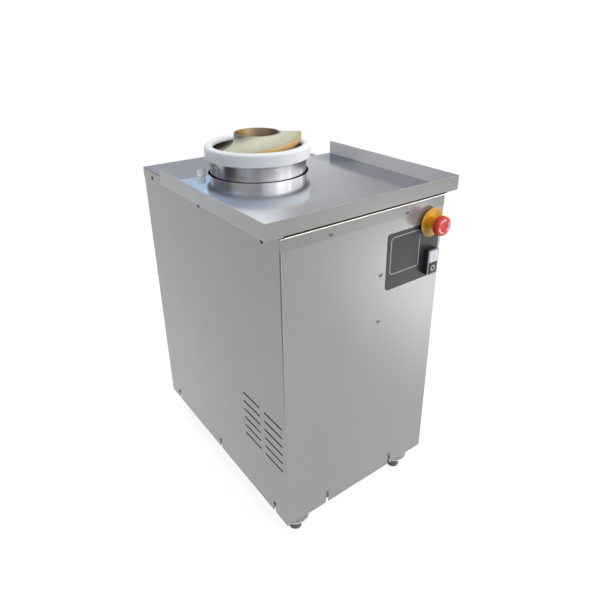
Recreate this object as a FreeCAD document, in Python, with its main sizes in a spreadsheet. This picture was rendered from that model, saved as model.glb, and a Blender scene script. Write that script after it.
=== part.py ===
import FreeCAD, Part
import math
import os
import re

import Sketcher
from FreeCAD import Placement, Rotation, Vector

# A dough rounder for a bakery. A ball of dough is dropped down the bore of the auger, which stands still.
# The drum round it turns, so the dough rolls up the helical flight and leaves over the ring as a round ball.
# Frame: +Z up, origin on the floor under the middle of the overall outline, front with the controls at -Y.
# All lengths are millimetres.

doc = FreeCAD.newDocument("DoughRounder")
sheet = doc.addObject("Spreadsheet::Sheet", "Sizes")

CABINET = {
    "cabinet_width": 400,
    "cabinet_depth": 580,
    "body_height": 650,
    "sheet_wall": 1.5,
    "bend_radius": 3,
    "cover_flange": 24,
    "panel_return": 20,
    "pan_wall": 42,
    "pan_lift": 8,
    "post_leg": 16,
    "rail_leg": 25,
    "post_wall": 2,
    "plate_drop": 265,
    "plate_wall": 6,
}
TRAY = {
    "tray_left": 25.5,
    "tray_right": 36,
    "tray_back": 121.5,
    "tray_wall": 32,
    "tab_width": 20,
    "tab_height": 18,
    "tab_gap": 6,
    "tray_screw_edge": 18,
    "tray_screw_inset": 5,
    "tray_notch_radius": 3.5,
}
FEET = {
    "foot_height": 65,
    "foot_inset_x": 48,
    "foot_inset_y": 41,
    "rubber_radius": 15.5,
    "rubber_height": 35,
    "rubber_round": 3,
    "foot_flange_radius": 30,
    "foot_flange_wall": 3,
    "foot_collar_radius": 14,
    "foot_collar_height": 5,
    "stem_radius": 5,
    "stem_depth": 22,
    "stem_rise": 14,
    "nut_width": 17,
    "nut_wall": 8,
}
VENTS = {
    "vent_length": 64,
    "vent_width": 4,
    "vent_pitch": 21.6,
    "vent_level": 141,
    "vent_inset": 13,
    "vent_gap": 17,
    "vent_rows": 6,
}
SCREWS = {
    "screw_radius": 2.5,
    "screw_head": 5,
    "screw_dome": 2.2,
    "screw_tail": 3,
    "side_screw_inset": 54,
    "front_screw_inset": 107,
    "flange_screw_drop": 16.5,
    "side_notch_level": 22,
    "front_notch_level": 28,
    "side_notch_inset": 50,
    "notch_radius": 3.5,
}
DRUM = {
    "drum_offset": 92,
    "drum_radius": 110.5,
    "drum_wall": 9,
    "drum_depth": 115,
    "drum_floor": 12,
    "drum_corner": 7,
    "drum_fillet": 3,
    "hole_gap": 4.5,
    "ring_rise": 64,
    "ring_height": 28.5,
    "ring_outer": 120,
    "ring_inner": 101,
    "ring_lip": 9,
    "ring_round": 6,
}
AUGER = {
    "auger_rise": 87.5,
    "auger_radius": 52.5,
    "auger_wall": 4,
    "auger_rim": 1.2,
    "auger_floor_gap": 2,
    "flight_gap": 1.5,
    "flight_seat": 0.2,
    "flight_pitch": 87,
    "flight_edge": 12,
    "flight_dish": 22,
    "flight_swell": 6,
    "tip_angle": -30,
    "window_start": 8,
    "window_angle": 80,
    "window_level": 38,
    "window_height": 46,
    "window_sill": 12,
    "ramp_height": 40,
    "socket_gap": 0.3,
}
DRIVE = {
    "spindle_radius": 15,
    "spindle_flange": 55,
    "spindle_flange_wall": 12,
    "spindle_bolt_circle": 46,
    "spindle_shoulder": 20,
    "tang_half": 10,
    "tang_height": 18,
    "bearing_radius": 31,
    "bearing_width": 16,
    "bearing_play": 0.03,
    "bearing_gap": 0.3,
    "bearing_groove": 0.8,
    "hub_radius": 38,
    "hub_bore": 26,
    "hub_lift": 4,
    "hub_flange": 62,
    "hub_flange_wall": 10,
    "hub_bolt_circle": 50,
    "hub_collar": 54,
    "hub_collar_wall": 6,
    "pulley_bolt_circle": 46,
    "spindle_nut_radius": 21,
    "spindle_nut_wall": 8,
    "nut_space": 3,
    "seal_radius": 19,
    "seal_play": 0.05,
    "belt_level": 30,
    "drum_pulley_radius": 125,
    "motor_pulley_radius": 27,
    "pulley_width": 18,
    "pulley_web": 8,
    "groove_width": 11,
    "groove_depth": 9,
    "groove_lean_share": 0.3,
    "rim_wall": 6,
    "light_radius": 17,
    "belt_width": 10,
    "belt_wall": 7,
    "belt_centres": 215,
    "motor_radius": 60,
    "fin_rise": 8,
    "fin_wall": 3,
    "fin_count": 24,
    "motor_length": 150,
    "motor_collar": 12,
    "motor_flange": 80,
    "motor_flange_wall": 10,
    "motor_bolt_circle": 65,
    "motor_spigot": 40,
    "shaft_radius": 9.5,
    "shaft_rise": 46,
    "shaft_tail": 34,
    "shaft_play": 0.05,
    "cover_length": 48,
    "cover_wall": 2,
    "fan_radius": 52,
    "fan_width": 18,
    "fan_hub": 15,
    "fan_blades": 8,
    "blade_wall": 2.5,
    "motor_box_length": 70,
    "motor_box_width": 50,
    "motor_box_depth": 34,
    "hub_screw_count": 6,
    "pulley_screw_count": 4,
    "light_hole_count": 6,
    "grille_hole_count": 8,
    "flange_screw_count": 4,
    "hub_screw_radius": 3,
    "hub_screw_head": 5,
    "hub_screw_rise": 5,
}
CONTROLS = {
    "label_width": 145,
    "label_inset": 8,
    "label_top": 52.5,
    "label_bottom": 171.5,
    "label_wall": 0.8,
    "label_round": 7,
    "estop_inset": 42.5,
    "estop_drop": 49,
    "estop_hole": 11.1,
    "estop_reach": 40,
    "collar_radius": 30,
    "collar_base": 17,
    "collar_depth": 9,
    "collar_wall": 2.2,
    "neck_radius": 13,
    "neck_length": 25.5,
    "head_radius": 20,
    "head_depth": 14.5,
    "head_round": 4,
    "head_play": 0.4,
    "press_travel": 6,
    "press_spare": 1,
    "stem_core": 5,
    "stem_play": 0.08,
    "stem_end": 36,
    "sleeve_depth": 22,
    "estop_play": 0.1,
    "nut_ring_radius": 16,
    "nut_ring_wall": 5,
    "block_width": 30,
    "block_height": 40,
    "block_depth": 34,
    "switch_inset": 33.5,
    "switch_drop": 136,
    "switch_width": 29,
    "switch_height": 55,
    "switch_depth": 11.5,
    "switch_round": 3.5,
    "bezel_wall": 2,
    "bezel_frame": 2.4,
    "switch_body_width": 23,
    "switch_body_height": 45,
    "switch_body_depth": 30,
    "button_play": 0.3,
    "button_travel": 3,
    "button_proud": 1.2,
    "button_round": 1,
}
CONTROL_GEAR = {
    "bracket_inset": 167,
    "bracket_top": 132,
    "bracket_pitch": 103.5,
    "bracket_width": 30,
    "bracket_margin": 13,
    "bracket_depth": 70,
    "bracket_wall": 2,
    "contactor_width": 45,
    "contactor_height": 60,
    "contactor_depth": 50,
    "contactor_step": 12,
    "terminal_height": 36,
    "terminal_width": 22,
    "terminal_depth": 50,
    "terminal_count": 4,
    "gland_inset": 80,
    "gland_level": 80,
    "gland_reach": 20,
    "gland_radius": 10,
    "gland_nut_width": 24,
    "gland_bore": 5,
    "gland_tail": 10,
    "gland_tip": 2,
    "gland_nut_wall": 5,
    "overrun": 5,
}

SIZES = {}
for group in (CABINET, TRAY, FEET, VENTS, SCREWS, DRUM, AUGER, DRIVE, CONTROLS, CONTROL_GEAR):
    SIZES.update(group)
for row, (name, size) in enumerate(SIZES.items(), start=1):
    sheet.set("A%d" % row, name)
    sheet.set("B%d" % row, str(size))
    sheet.setAlias("B%d" % row, name)
doc.recompute()

# Places and sizes that follow from the ones above
WORKED_OUT = {
    "mid_x": "(tray_left - tray_right) / 2",
    "mid_y": "(estop_reach + label_wall - gland_reach) / 2",
    "top_z": "foot_height + body_height",
    "half_width": "cabinet_width / 2",
    "half_depth": "cabinet_depth / 2",
    "panel_x": "half_width - sheet_wall",
    "panel_y": "half_depth - sheet_wall",
    "panel_height": "body_height - sheet_wall",
    "pan_x": "panel_x - sheet_wall",
    "pan_y": "panel_y - 2 * sheet_wall",
    "post_x": "pan_x - sheet_wall",
    "post_y": "pan_y - sheet_wall",
    "post_foot": "foot_height + pan_lift + sheet_wall",
    "tray_screw_spread": "half_width - tray_screw_edge",
    "vent_front": "vent_inset - half_depth",
    "vent_behind": "vent_front + vent_length + vent_gap",
    "side_screw_spread": "half_depth - side_screw_inset",
    "side_notch_spread": "half_depth - side_notch_inset",
    "front_screw_spread": "half_width - front_screw_inset",
    "rail_x": "post_x - post_wall",
    "rail_y": "post_y - post_wall",
    "plate_z": "top_z - plate_drop",
    "plate_top": "plate_z + plate_wall",
    "drum_y": "mid_y + drum_offset",
    "drum_bore": "drum_radius - drum_wall",
    "hole_radius": "drum_radius + hole_gap",
    "drum_floor_z": "top_z - drum_depth",
    "drum_base_z": "drum_floor_z - drum_floor",
    "drum_rim": "ring_rise - ring_lip + drum_depth",
    "flight_radius": "ring_inner - flight_gap",
    "auger_height": "auger_rise + drum_depth - auger_floor_gap",
    "auger_bore": "auger_radius - auger_wall",
    "flight_rise": "auger_height - flight_edge - flight_seat",
    "flight_start": "tip_angle - 360 * flight_rise / flight_pitch",
    "flight_root": "auger_radius + flight_seat",
    "flight_width": "flight_radius - flight_root",
    "flight_chord": "sqrt(flight_width ^ 2 + flight_dish ^ 2)",
    "window_end": "window_start + window_angle",
    "window_middle": "window_start + window_angle / 2",
    "spindle_top": "drum_floor_z + auger_floor_gap",
    "hub_z": "plate_top + spindle_flange_wall + hub_lift",
    "hub_height": "drum_base_z - hub_z",
    "upper_seat": "hub_height - bearing_width - 2 * bearing_gap - spindle_nut_wall - nut_space",
    "belt_z": "plate_top + belt_level",
    "belt_big": "drum_pulley_radius - belt_wall / 2",
    "belt_small": "motor_pulley_radius - belt_wall / 2",
    "motor_y": "drum_y - belt_centres",
    "front_y": "mid_y - panel_y",
    "label_right": "half_width - label_inset",
    "label_left": "label_right - label_width",
    "estop_across": "half_width - estop_inset",
    "switch_across": "half_width - switch_inset",
    "bracket_across": "half_width - bracket_inset",
    "gland_across": "half_width - gland_inset",
    "estop_x": "mid_x + estop_across",
    "estop_z": "top_z - estop_drop",
    "switch_x": "mid_x + switch_across",
    "switch_z": "top_z - switch_drop",
    "label_front": "front_y - label_wall",
}


def sized(text):
    """The formula with each name written as a cell of the sheet, or as the formula that it stands for."""

    def full(match):
        word = match.group()
        if word in WORKED_OUT:
            return "(" + sized(WORKED_OUT[word]) + ")"
        return "Sizes." + word if word in SIZES else word

    return re.sub(r"[a-z_][a-z_0-9]*", full, text)


def number(text):
    """The formula's present value."""
    found = sheet.evalExpression(sized(text))
    return float(getattr(found, "Value", found))


def point(x, y, z="0"):
    return Vector(number(x), number(y), number(z))


def seat(piece, x, y, z):
    """Ties the place of a piece to the sheet."""
    for letter, text in zip("xyz", (x, y, z)):
        piece.setExpression("Placement.Base." + letter, sized(text))


PIECES = []


def new_body(label, x="mid_x", y="mid_y", z="0"):
    body = doc.addObject("PartDesign::Body", label)
    body.Label = label
    seat(body, x, y, z)
    PIECES.append(body)
    return body


def new_sketch(body, role="XY_Plane", lift="0"):
    sketch = body.newObject("Sketcher::SketchObject", body.Name + "_sketch")
    plane = [item for item in body.Origin.OriginFeatures if item.Role == role][0]
    sketch.AttachmentSupport = [(plane, "")]
    sketch.MapMode = "FlatFace"
    sketch.setExpression("AttachmentOffset.Base.z", sized(lift))
    return sketch


def tie(sketch, kind, text, *ends):
    """Adds a constraint of one kind whose size is a formula."""
    index = sketch.addConstraint(Sketcher.Constraint(kind, *ends, number(text)))
    sketch.setExpression("Constraints[%d]" % index, sized(text))


def hold(sketch, line, end, x, y):
    """Holds one end of a line at a place given by two formulas."""
    tie(sketch, "DistanceX", x, -1, 1, line, end)
    tie(sketch, "DistanceY", y, -1, 1, line, end)


def outline(sketch, places):
    """A closed outline of straight lines through places given as pairs of formulas."""
    first = sketch.GeometryCount
    corners = [point(x, y) for x, y in places]
    count = len(corners)
    for k in range(count):
        sketch.addGeometry(Part.LineSegment(corners[k], corners[(k + 1) % count]), False)
    for k in range(count):
        sketch.addConstraint(Sketcher.Constraint("Coincident", first + k, 2, first + (k + 1) % count, 1))
    for k, (x, y) in enumerate(places):
        hold(sketch, first + k, 1, x, y)


def box_outline(sketch, x0, y0, x1, y1):
    outline(sketch, [(x0, y0), (x1, y0), (x1, y1), (x0, y1)])


def circle(sketch, x, y, radius):
    place = sketch.addGeometry(Part.Circle(point(x, y), Vector(0, 0, 1), number(radius)), False)
    hold(sketch, place, 3, x, y)
    tie(sketch, "Radius", radius, place)


def notch(sketch, x, low, level, radius):
    """A U with its round end up at a level, open below."""
    left = "%s - %s" % (x, radius)
    right = "%s + %s" % (x, radius)
    middle = Part.Circle(point(x, level), Vector(0, 0, 1), number(radius))
    arc = sketch.addGeometry(Part.ArcOfCircle(middle, 0, math.pi), False)
    hold(sketch, arc, 3, x, level)
    tie(sketch, "Radius", radius, arc)
    tie(sketch, "DistanceY", level, -1, 1, arc, 1)
    tie(sketch, "DistanceY", level, -1, 1, arc, 2)
    down = sketch.addGeometry(Part.LineSegment(point(left, level), point(left, low)), False)
    across = sketch.addGeometry(Part.LineSegment(point(left, low), point(right, low)), False)
    up = sketch.addGeometry(Part.LineSegment(point(right, low), point(right, level)), False)
    for a, end_a, b, end_b in ((arc, 2, down, 1), (down, 2, across, 1), (across, 2, up, 1), (up, 2, arc, 1)):
        sketch.addConstraint(Sketcher.Constraint("Coincident", a, end_a, b, end_b))
    hold(sketch, across, 1, left, low)
    hold(sketch, across, 2, right, low)


def pad(body, sketch, length, back=False):
    grown = body.newObject("PartDesign::Pad", body.Name + "_pad")
    grown.Profile = sketch
    grown.setExpression("Length", sized(length))
    grown.Reversed = back
    doc.recompute()
    return grown


def revolve(body, sketch):
    turned = body.newObject("PartDesign::Revolution", body.Name + "_revolution")
    turned.Profile = sketch
    turned.ReferenceAxis = (sketch, ["V_Axis"])
    turned.Angle = 360
    doc.recompute()
    return turned


def pocket(body, sketch, length=None, forward=True):
    """Cuts along the sketch's normal, or against it, and makes sure that it cut a part of the body."""
    before = body.Shape.Volume
    cut = body.newObject("PartDesign::Pocket", body.Name + "_pocket")
    cut.Profile = sketch
    cut.Reversed = forward
    if length is None:
        cut.Type = "ThroughAll"
    else:
        cut.setExpression("Length", sized(length))
    doc.recompute()
    if not 0 < body.Shape.Volume < before:
        raise ValueError("a pocket cut nothing or all from " + body.Label)
    return cut


def soften(body, radius, wanted):
    """Rounds the edges of the body's last feature for which wanted(edge) is true."""
    base = body.Tip
    names = ["Edge%d" % (k + 1) for k, edge in enumerate(base.Shape.Edges) if wanted(edge)]
    rounded = body.newObject("PartDesign::Fillet", body.Name + "_fillet")
    rounded.Base = (base, names)
    rounded.setExpression("Radius", sized(radius))
    doc.recompute()
    return rounded


def around(body, feature, sketch, count):
    """Repeats a feature evenly round the body's own Z."""
    turns = body.newObject("PartDesign::PolarPattern", body.Name + "_turns")
    turns.Originals = [feature]
    turns.Axis = (sketch, ["N_Axis"])
    turns.Angle = 360
    turns.setExpression("Occurrences", sized(count))
    body.Tip = turns
    doc.recompute()
    return turns


def turned(label, places, x="mid_x", y="mid_y", z="0"):
    """A body of revolution about its own Z, from (radius, height) pairs."""
    body = new_body(label, x, y, z)
    sketch = new_sketch(body, "XZ_Plane")
    outline(sketch, places)
    revolve(body, sketch)
    return body


def same(a, b):
    return abs(a - b) < hair


hair = number("sheet_wall") / 1000


def compound(label, solids):
    piece = doc.addObject("Part::Feature", label)
    piece.Label = label
    piece.Shape = Part.makeCompound(solids)
    PIECES.append(piece)
    return piece


def domed_screw(length):
    """A screw with a shallow domed head above its seat at the origin and a plain shank below."""
    head = number("screw_head")
    dome = number("screw_dome")
    shank = number("screw_radius")
    ball = (head * head + dome * dome) / (2 * dome)
    crown = Part.makeSphere(ball, Vector(0, 0, dome - ball))
    crown = crown.common(Part.makeCylinder(head, dome))
    return crown.fuse(Part.makeCylinder(shank, length, Vector(0, 0, 0), Vector(0, 0, -1))).removeSplitter()


def placed(solid, spot, axis):
    """A copy of a solid made about +Z, moved to a spot and pointed along an axis."""
    copy = solid.copy()
    copy.Placement = Placement(spot, Rotation(Vector(0, 0, 1), axis))
    return copy


def hex_prism(width, length):
    """A hexagon of a width across flats, standing on the origin."""
    corner = width / math.sqrt(3)
    turns = [math.pi * k / 3 for k in range(7)]
    ring = [Vector(corner * math.cos(turn), corner * math.sin(turn), 0) for turn in turns]
    return Part.Face(Part.makePolygon(ring)).extrude(Vector(0, 0, length))


# Cabinet: cover, panels, pan, posts, rails and plate


def make_cover():
    body = new_body("top_cover", z="top_z - cover_flange")
    sketch = new_sketch(body)
    box_outline(sketch, "-half_width", "-half_depth", "half_width", "half_depth")
    pad(body, sketch, "cover_flange")
    flange = number("cover_flange")
    soften(body, "bend_radius", lambda edge: edge.BoundBox.ZMax > flange - hair)
    inside = new_sketch(body)
    box_outline(inside, "-panel_x", "-panel_y", "panel_x", "panel_y")
    pocket(body, inside, "cover_flange - sheet_wall")
    hole = new_sketch(body)
    circle(hole, "0", "drum_offset", "hole_radius")
    pocket(body, hole)
    sides = new_sketch(body, "YZ_Plane", "-half_width - overrun")
    for share in ("-1", "0", "1"):
        circle(sides, share + " * side_screw_spread", "cover_flange - flange_screw_drop", "screw_radius")
    pocket(body, sides)
    ends = new_sketch(body, "XZ_Plane", "-half_depth - overrun")
    for share in ("-1", "1"):
        circle(ends, share + " * front_screw_spread", "cover_flange - flange_screw_drop", "screw_radius")
    pocket(body, ends)
    return body


def make_tray():
    body = new_body("loading_tray", z="top_z")
    left = "-half_width - tray_left"
    right = "half_width + tray_right"
    sketch = new_sketch(body)
    box_outline(sketch, left, "-half_depth", right, "tray_back")
    pad(body, sketch, "tray_wall")
    back = number("tray_back")
    low = lambda edge: same(edge.BoundBox.ZMax, 0) and edge.BoundBox.YMin < back - hair
    soften(body, "bend_radius", low)
    inside = new_sketch(body, lift="sheet_wall")
    box_outline(
        inside,
        left + " + sheet_wall",
        "-half_depth + sheet_wall",
        right + " - sheet_wall",
        "tray_back + overrun",
    )
    pocket(body, inside)
    hole = new_sketch(body)
    circle(hole, "0", "drum_offset", "hole_radius")
    pocket(body, hole)
    slots = new_sketch(body)
    middle = "(tray_right - tray_left) / 2"
    for share in ("-1", "1"):
        x = "%s + %s * tray_screw_spread" % (middle, share)
        outline(
            slots,
            [
                (x + " - tray_notch_radius", "tray_back - tray_screw_inset - tray_notch_radius"),
                (x + " + tray_notch_radius", "tray_back - tray_screw_inset - tray_notch_radius"),
                (x + " + tray_notch_radius", "tray_back + overrun"),
                (x + " - tray_notch_radius", "tray_back + overrun"),
            ],
        )
    pocket(body, slots)
    tab = new_sketch(body)
    box_outline(
        tab,
        "-hole_radius - tab_gap - tab_width",
        "tray_back - sheet_wall",
        "-hole_radius - tab_gap",
        "tray_back",
    )
    pad(body, tab, "tab_height")
    return body


def make_side_panel(label, side):
    """A side panel with returns at both upright edges. side is -1 for left and 1 for right."""
    body = new_body(label, z="foot_height")
    sketch = new_sketch(body)
    face = side + " * panel_x"
    inner = side + " * (panel_x - sheet_wall)"
    lip = side + " * (panel_x - panel_return)"
    y_out = "panel_y - sheet_wall"
    y_in = "panel_y - 2 * sheet_wall"
    outline(
        sketch,
        [
            (face, "-(%s)" % y_out),
            (face, y_out),
            (lip, y_out),
            (lip, y_in),
            (inner, y_in),
            (inner, "-(%s)" % y_in),
            (lip, "-(%s)" % y_in),
            (lip, "-(%s)" % y_out),
        ],
    )
    pad(body, sketch, "panel_height")
    outward = side == "1"
    holes = new_sketch(body, "YZ_Plane")
    for share in ("-1", "0", "1"):
        circle(holes, share + " * side_screw_spread", "body_height - flange_screw_drop", "screw_radius")
        notch(holes, share + " * side_notch_spread", "-overrun", "side_notch_level", "notch_radius")
    pocket(body, holes, forward=outward)
    vents = new_sketch(body, "YZ_Plane")
    for start in ("vent_front", "vent_behind"):
        box_outline(vents, start, "vent_level", start + " + vent_length", "vent_level + vent_width")
    slots = pocket(body, vents, forward=outward)
    rows = body.newObject("PartDesign::LinearPattern", label + "_vent_rows")
    rows.Originals = [slots]
    rows.Direction = (vents, ["V_Axis"])
    rows.setExpression("Length", sized("vent_pitch * (vent_rows - 1)"))
    rows.setExpression("Occurrences", sized("vent_rows"))
    body.Tip = rows
    doc.recompute()
    return body


def make_end_panel(label, side):
    """The front or back panel, a flat sheet. side is -1 for front and 1 for back."""
    body = new_body(label, z="foot_height")
    face = side + " * panel_y"
    inner = side + " * (panel_y - sheet_wall)"
    sketch = new_sketch(body)
    box_outline(sketch, "-panel_x", face, "panel_x", inner)
    pad(body, sketch, "panel_height")
    holes = new_sketch(body, "XZ_Plane")
    for share in ("-1", "1"):
        circle(holes, share + " * front_screw_spread", "body_height - flange_screw_drop", "screw_radius")
        notch(holes, share + " * front_screw_spread", "-overrun", "front_notch_level", "notch_radius")
    if side == "-1":
        circle(holes, "estop_across", "body_height - estop_drop", "estop_hole")
        box_outline(
            holes,
            "switch_across - switch_body_width / 2",
            "body_height - switch_drop - switch_body_height / 2",
            "switch_across + switch_body_width / 2",
            "body_height - switch_drop + switch_body_height / 2",
        )
        circle(holes, "bracket_across", "body_height - bracket_top", "screw_radius")
        circle(holes, "bracket_across", "body_height - bracket_top - bracket_pitch", "screw_radius")
    else:
        circle(holes, "-gland_across", "gland_level", "gland_radius")
    pocket(body, holes, forward=side == "-1")
    return body


def make_base_pan():
    body = new_body("base_pan", z="foot_height + pan_lift")
    sketch = new_sketch(body)
    box_outline(sketch, "-pan_x", "-pan_y", "pan_x", "pan_y")
    pad(body, sketch, "pan_wall")
    inside = new_sketch(body, lift="sheet_wall")
    inner_x = "(pan_x - sheet_wall)"
    inner_y = "(pan_y - sheet_wall)"
    box_outline(inside, "-" + inner_x, "-" + inner_y, inner_x, inner_y)
    pocket(body, inside)
    feet = new_sketch(body)
    for x in ("-1", "1"):
        for y in ("-1", "1"):
            circle(
                feet,
                x + " * (half_width - foot_inset_x)",
                y + " * (half_depth - foot_inset_y)",
                "stem_radius",
            )
    pocket(body, feet)
    sides = new_sketch(body, "YZ_Plane", "-half_width - overrun")
    for share in ("-1", "0", "1"):
        circle(sides, share + " * side_notch_spread", "side_notch_level - pan_lift", "screw_radius")
    pocket(body, sides)
    ends = new_sketch(body, "XZ_Plane", "-half_depth - overrun")
    for share in ("-1", "1"):
        circle(ends, share + " * front_screw_spread", "front_notch_level - pan_lift", "screw_radius")
    pocket(body, ends)
    return body


def make_corner_post(label, side_x, side_y):
    """An angle that stands on the pan and carries the cover. Its two legs lie along the panels."""
    body = new_body(label, z="post_foot")
    sketch = new_sketch(body)
    x_out = side_x + " * post_x"
    x_in = side_x + " * (post_x - post_wall)"
    x_end = side_x + " * (post_x - post_leg)"
    y_out = side_y + " * post_y"
    y_in = side_y + " * (post_y - post_wall)"
    y_end = side_y + " * (post_y - post_leg)"
    outer_leg = [(x_out, y_end), (x_out, y_out), (x_end, y_out)]
    inner_leg = [(x_end, y_in), (x_in, y_in), (x_in, y_end)]
    outline(sketch, outer_leg + inner_leg)
    pad(body, sketch, "top_z - sheet_wall - post_foot")
    return body


def make_plate_rail(label, side):
    """An angle between the front and back posts, whose upper leg carries the drive plate."""
    body = new_body(label, z="plate_z")
    sketch = new_sketch(body, "XZ_Plane", "-rail_y")
    outline(
        sketch,
        [
            (side + " * rail_x", "0"),
            (side + " * (rail_x - rail_leg)", "0"),
            (side + " * (rail_x - rail_leg)", "-post_wall"),
            (side + " * (rail_x - post_wall)", "-post_wall"),
            (side + " * (rail_x - post_wall)", "-rail_leg"),
            (side + " * rail_x", "-rail_leg"),
        ],
    )
    pad(body, sketch, "2 * rail_y")
    return body


def make_drive_plate():
    body = new_body("drive_plate", z="plate_z")
    sketch = new_sketch(body)
    box_outline(sketch, "-rail_x", "-rail_y", "rail_x", "rail_y")
    pad(body, sketch, "plate_wall")
    holes = new_sketch(body)
    circle(holes, "0", "drum_offset - belt_centres", "motor_spigot")
    for x in ("-1", "1"):
        for y in ("-1", "1"):
            circle(
                holes,
                x + " * spindle_bolt_circle / sqrt(2)",
                "drum_offset + %s * spindle_bolt_circle / sqrt(2)" % y,
                "hub_screw_radius",
            )
            circle(
                holes,
                x + " * motor_bolt_circle / sqrt(2)",
                "drum_offset - belt_centres + %s * motor_bolt_circle / sqrt(2)" % y,
                "hub_screw_radius",
            )
    pocket(body, holes)
    return body


CORNERS = {
    "front_left": ("-1", "-1"),
    "front_right": ("1", "-1"),
    "back_left": ("-1", "1"),
    "back_right": ("1", "1"),
}

make_cover()
make_tray()
make_side_panel("left_panel", "-1")
make_side_panel("right_panel", "1")
make_end_panel("front_panel", "-1")
make_end_panel("back_panel", "1")
make_base_pan()
for corner, (side_x, side_y) in CORNERS.items():
    make_corner_post("corner_post_" + corner, side_x, side_y)
make_plate_rail("plate_rail_left", "-1")
make_plate_rail("plate_rail_right", "1")
make_drive_plate()

# Feet: a rubber buffer, a round steel flange on it and a threaded stem up through the pan


def make_foot(corner, side_x, side_y):
    return turned(
        "rubber_foot_" + corner,
        [
            ("0", "0"),
            ("rubber_radius - rubber_round", "0"),
            ("rubber_radius", "rubber_round"),
            ("rubber_radius", "rubber_height"),
            ("stem_radius", "rubber_height"),
            ("stem_radius", "rubber_height - stem_depth"),
            ("0", "rubber_height - stem_depth"),
        ],
        "mid_x + %s * (half_width - foot_inset_x)" % side_x,
        "mid_y + %s * (half_depth - foot_inset_y)" % side_y,
    )


for corner, (side_x, side_y) in CORNERS.items():
    make_foot(corner, side_x, side_y)


def foot_places():
    """Where the four feet stand."""
    return [
        point(
            "mid_x + %s * (half_width - foot_inset_x)" % side_x,
            "mid_y + %s * (half_depth - foot_inset_y)" % side_y,
        )
        for side_x, side_y in CORNERS.values()
    ]


def make_foot_flanges():
    """Round flanges on the rubber buffers, each with a short collar round the stem."""
    wall = number("foot_flange_wall")
    height = number("foot_flange_wall + foot_collar_height")
    flange = Part.makeCylinder(number("foot_flange_radius"), wall)
    flange = flange.fuse(Part.makeCylinder(number("foot_collar_radius"), height))
    flange = flange.cut(Part.makeCylinder(number("stem_radius"), height)).removeSplitter()
    top = Vector(0, 0, number("rubber_height"))
    return compound("foot_flanges", [flange.translated(place + top) for place in foot_places()])


make_foot_flanges()


def make_foot_stems():
    """Threaded stems with a nut under the pan and one in it."""
    low = number("rubber_height - stem_depth")
    pan = number("foot_height + pan_lift")
    above = pan + number("sheet_wall")
    wall = number("nut_wall")
    width = number("nut_width")
    rod = number("stem_radius")
    stem = Part.makeCylinder(rod, above + number("stem_rise") - low, Vector(0, 0, low))
    for level in (pan - wall, above):
        stem = stem.fuse(hex_prism(width, wall).translated(Vector(0, 0, level)))
    stem = stem.removeSplitter()
    return compound("foot_stems", [stem.translated(place) for place in foot_places()])


make_foot_stems()

# Screws of the cabinet


def make_cabinet_screws():
    wall = number("sheet_wall")
    length = 2 * wall + number("screw_tail")
    screw = domed_screw(length)
    level = number("top_z - flange_screw_drop")
    reach_x = number("half_width")
    reach_y = number("half_depth")
    mid = point("mid_x", "mid_y")
    spread = number("side_screw_spread")
    front = number("front_screw_spread")
    low_side = number("foot_height + side_notch_level")
    low_end = number("foot_height + front_notch_level")
    low_spread = number("side_notch_spread")
    long_screw = domed_screw(length + wall)
    screws = []
    for side in (-1, 1):
        across = Vector(side, 0, 0)
        for share in (-1, 0, 1):
            high = Vector(mid.x + side * reach_x, mid.y + share * spread, level)
            low = Vector(mid.x + side * (reach_x - wall), mid.y + share * low_spread, low_side)
            screws += [placed(screw, high, across), placed(screw, low, across)]
        along = Vector(0, side, 0)
        for share in (-1, 1):
            high = Vector(mid.x + share * front, mid.y + side * reach_y, level)
            low = Vector(mid.x + share * front, mid.y + side * (reach_y - wall), low_end)
            screws += [placed(screw, high, along), placed(long_screw, low, along)]
    short = domed_screw(wall + number("bracket_wall") + wall)
    first = Vector(number("mid_x + bracket_across"), number("front_y"), number("top_z - bracket_top"))
    for spot in (first, first - Vector(0, 0, number("bracket_pitch"))):
        screws.append(placed(short, spot, Vector(0, -1, 0)))
    compound("panel_screws", screws)
    level = number("top_z + sheet_wall")
    y = number("mid_y + tray_back - tray_screw_inset")
    middle = mid.x + number("(tray_right - tray_left) / 2")
    spread = number("tray_screw_spread")
    stud = domed_screw(wall)
    spots = [Vector(middle + share * spread, y, level) for share in (-1, 1)]
    compound("tray_screws", [placed(stud, spot, Vector(0, 0, 1)) for spot in spots])


make_cabinet_screws()

# Drum and its ring


def make_drum():
    body = new_body("drum", y="drum_y", z="drum_floor_z")
    sketch = new_sketch(body, "XZ_Plane")
    outline(
        sketch,
        [
            ("seal_radius", "-drum_floor"),
            ("drum_radius - drum_corner", "-drum_floor"),
            ("drum_radius", "drum_corner - drum_floor"),
            ("drum_radius", "drum_rim"),
            ("drum_bore", "drum_rim"),
            ("drum_bore", "drum_fillet"),
            ("drum_bore - drum_fillet", "0"),
            ("seal_radius", "0"),
        ],
    )
    revolve(body, sketch)
    holes = new_sketch(body)
    circle(holes, "hub_bolt_circle", "0", "hub_screw_radius")
    first = pocket(body, holes, forward=False)
    around(body, first, holes, "hub_screw_count")
    return body


def make_ring():
    body = new_body("drum_ring", y="drum_y", z="top_z + ring_rise - ring_height")
    sketch = new_sketch(body, "XZ_Plane")
    outline(
        sketch,
        [
            ("drum_radius", "0"),
            ("ring_outer", "0"),
            ("ring_outer", "ring_height"),
            ("ring_inner", "ring_height"),
            ("ring_inner", "ring_height - ring_lip"),
            ("drum_radius", "ring_height - ring_lip"),
        ],
    )
    revolve(body, sketch)
    height = number("ring_height")
    soften(body, "ring_round", lambda edge: same(edge.BoundBox.ZMin, height))
    return body


make_drum()
make_ring()

# Auger: a bored bronze tube with a window low down, a ramp behind it and a helical flight round it


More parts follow.
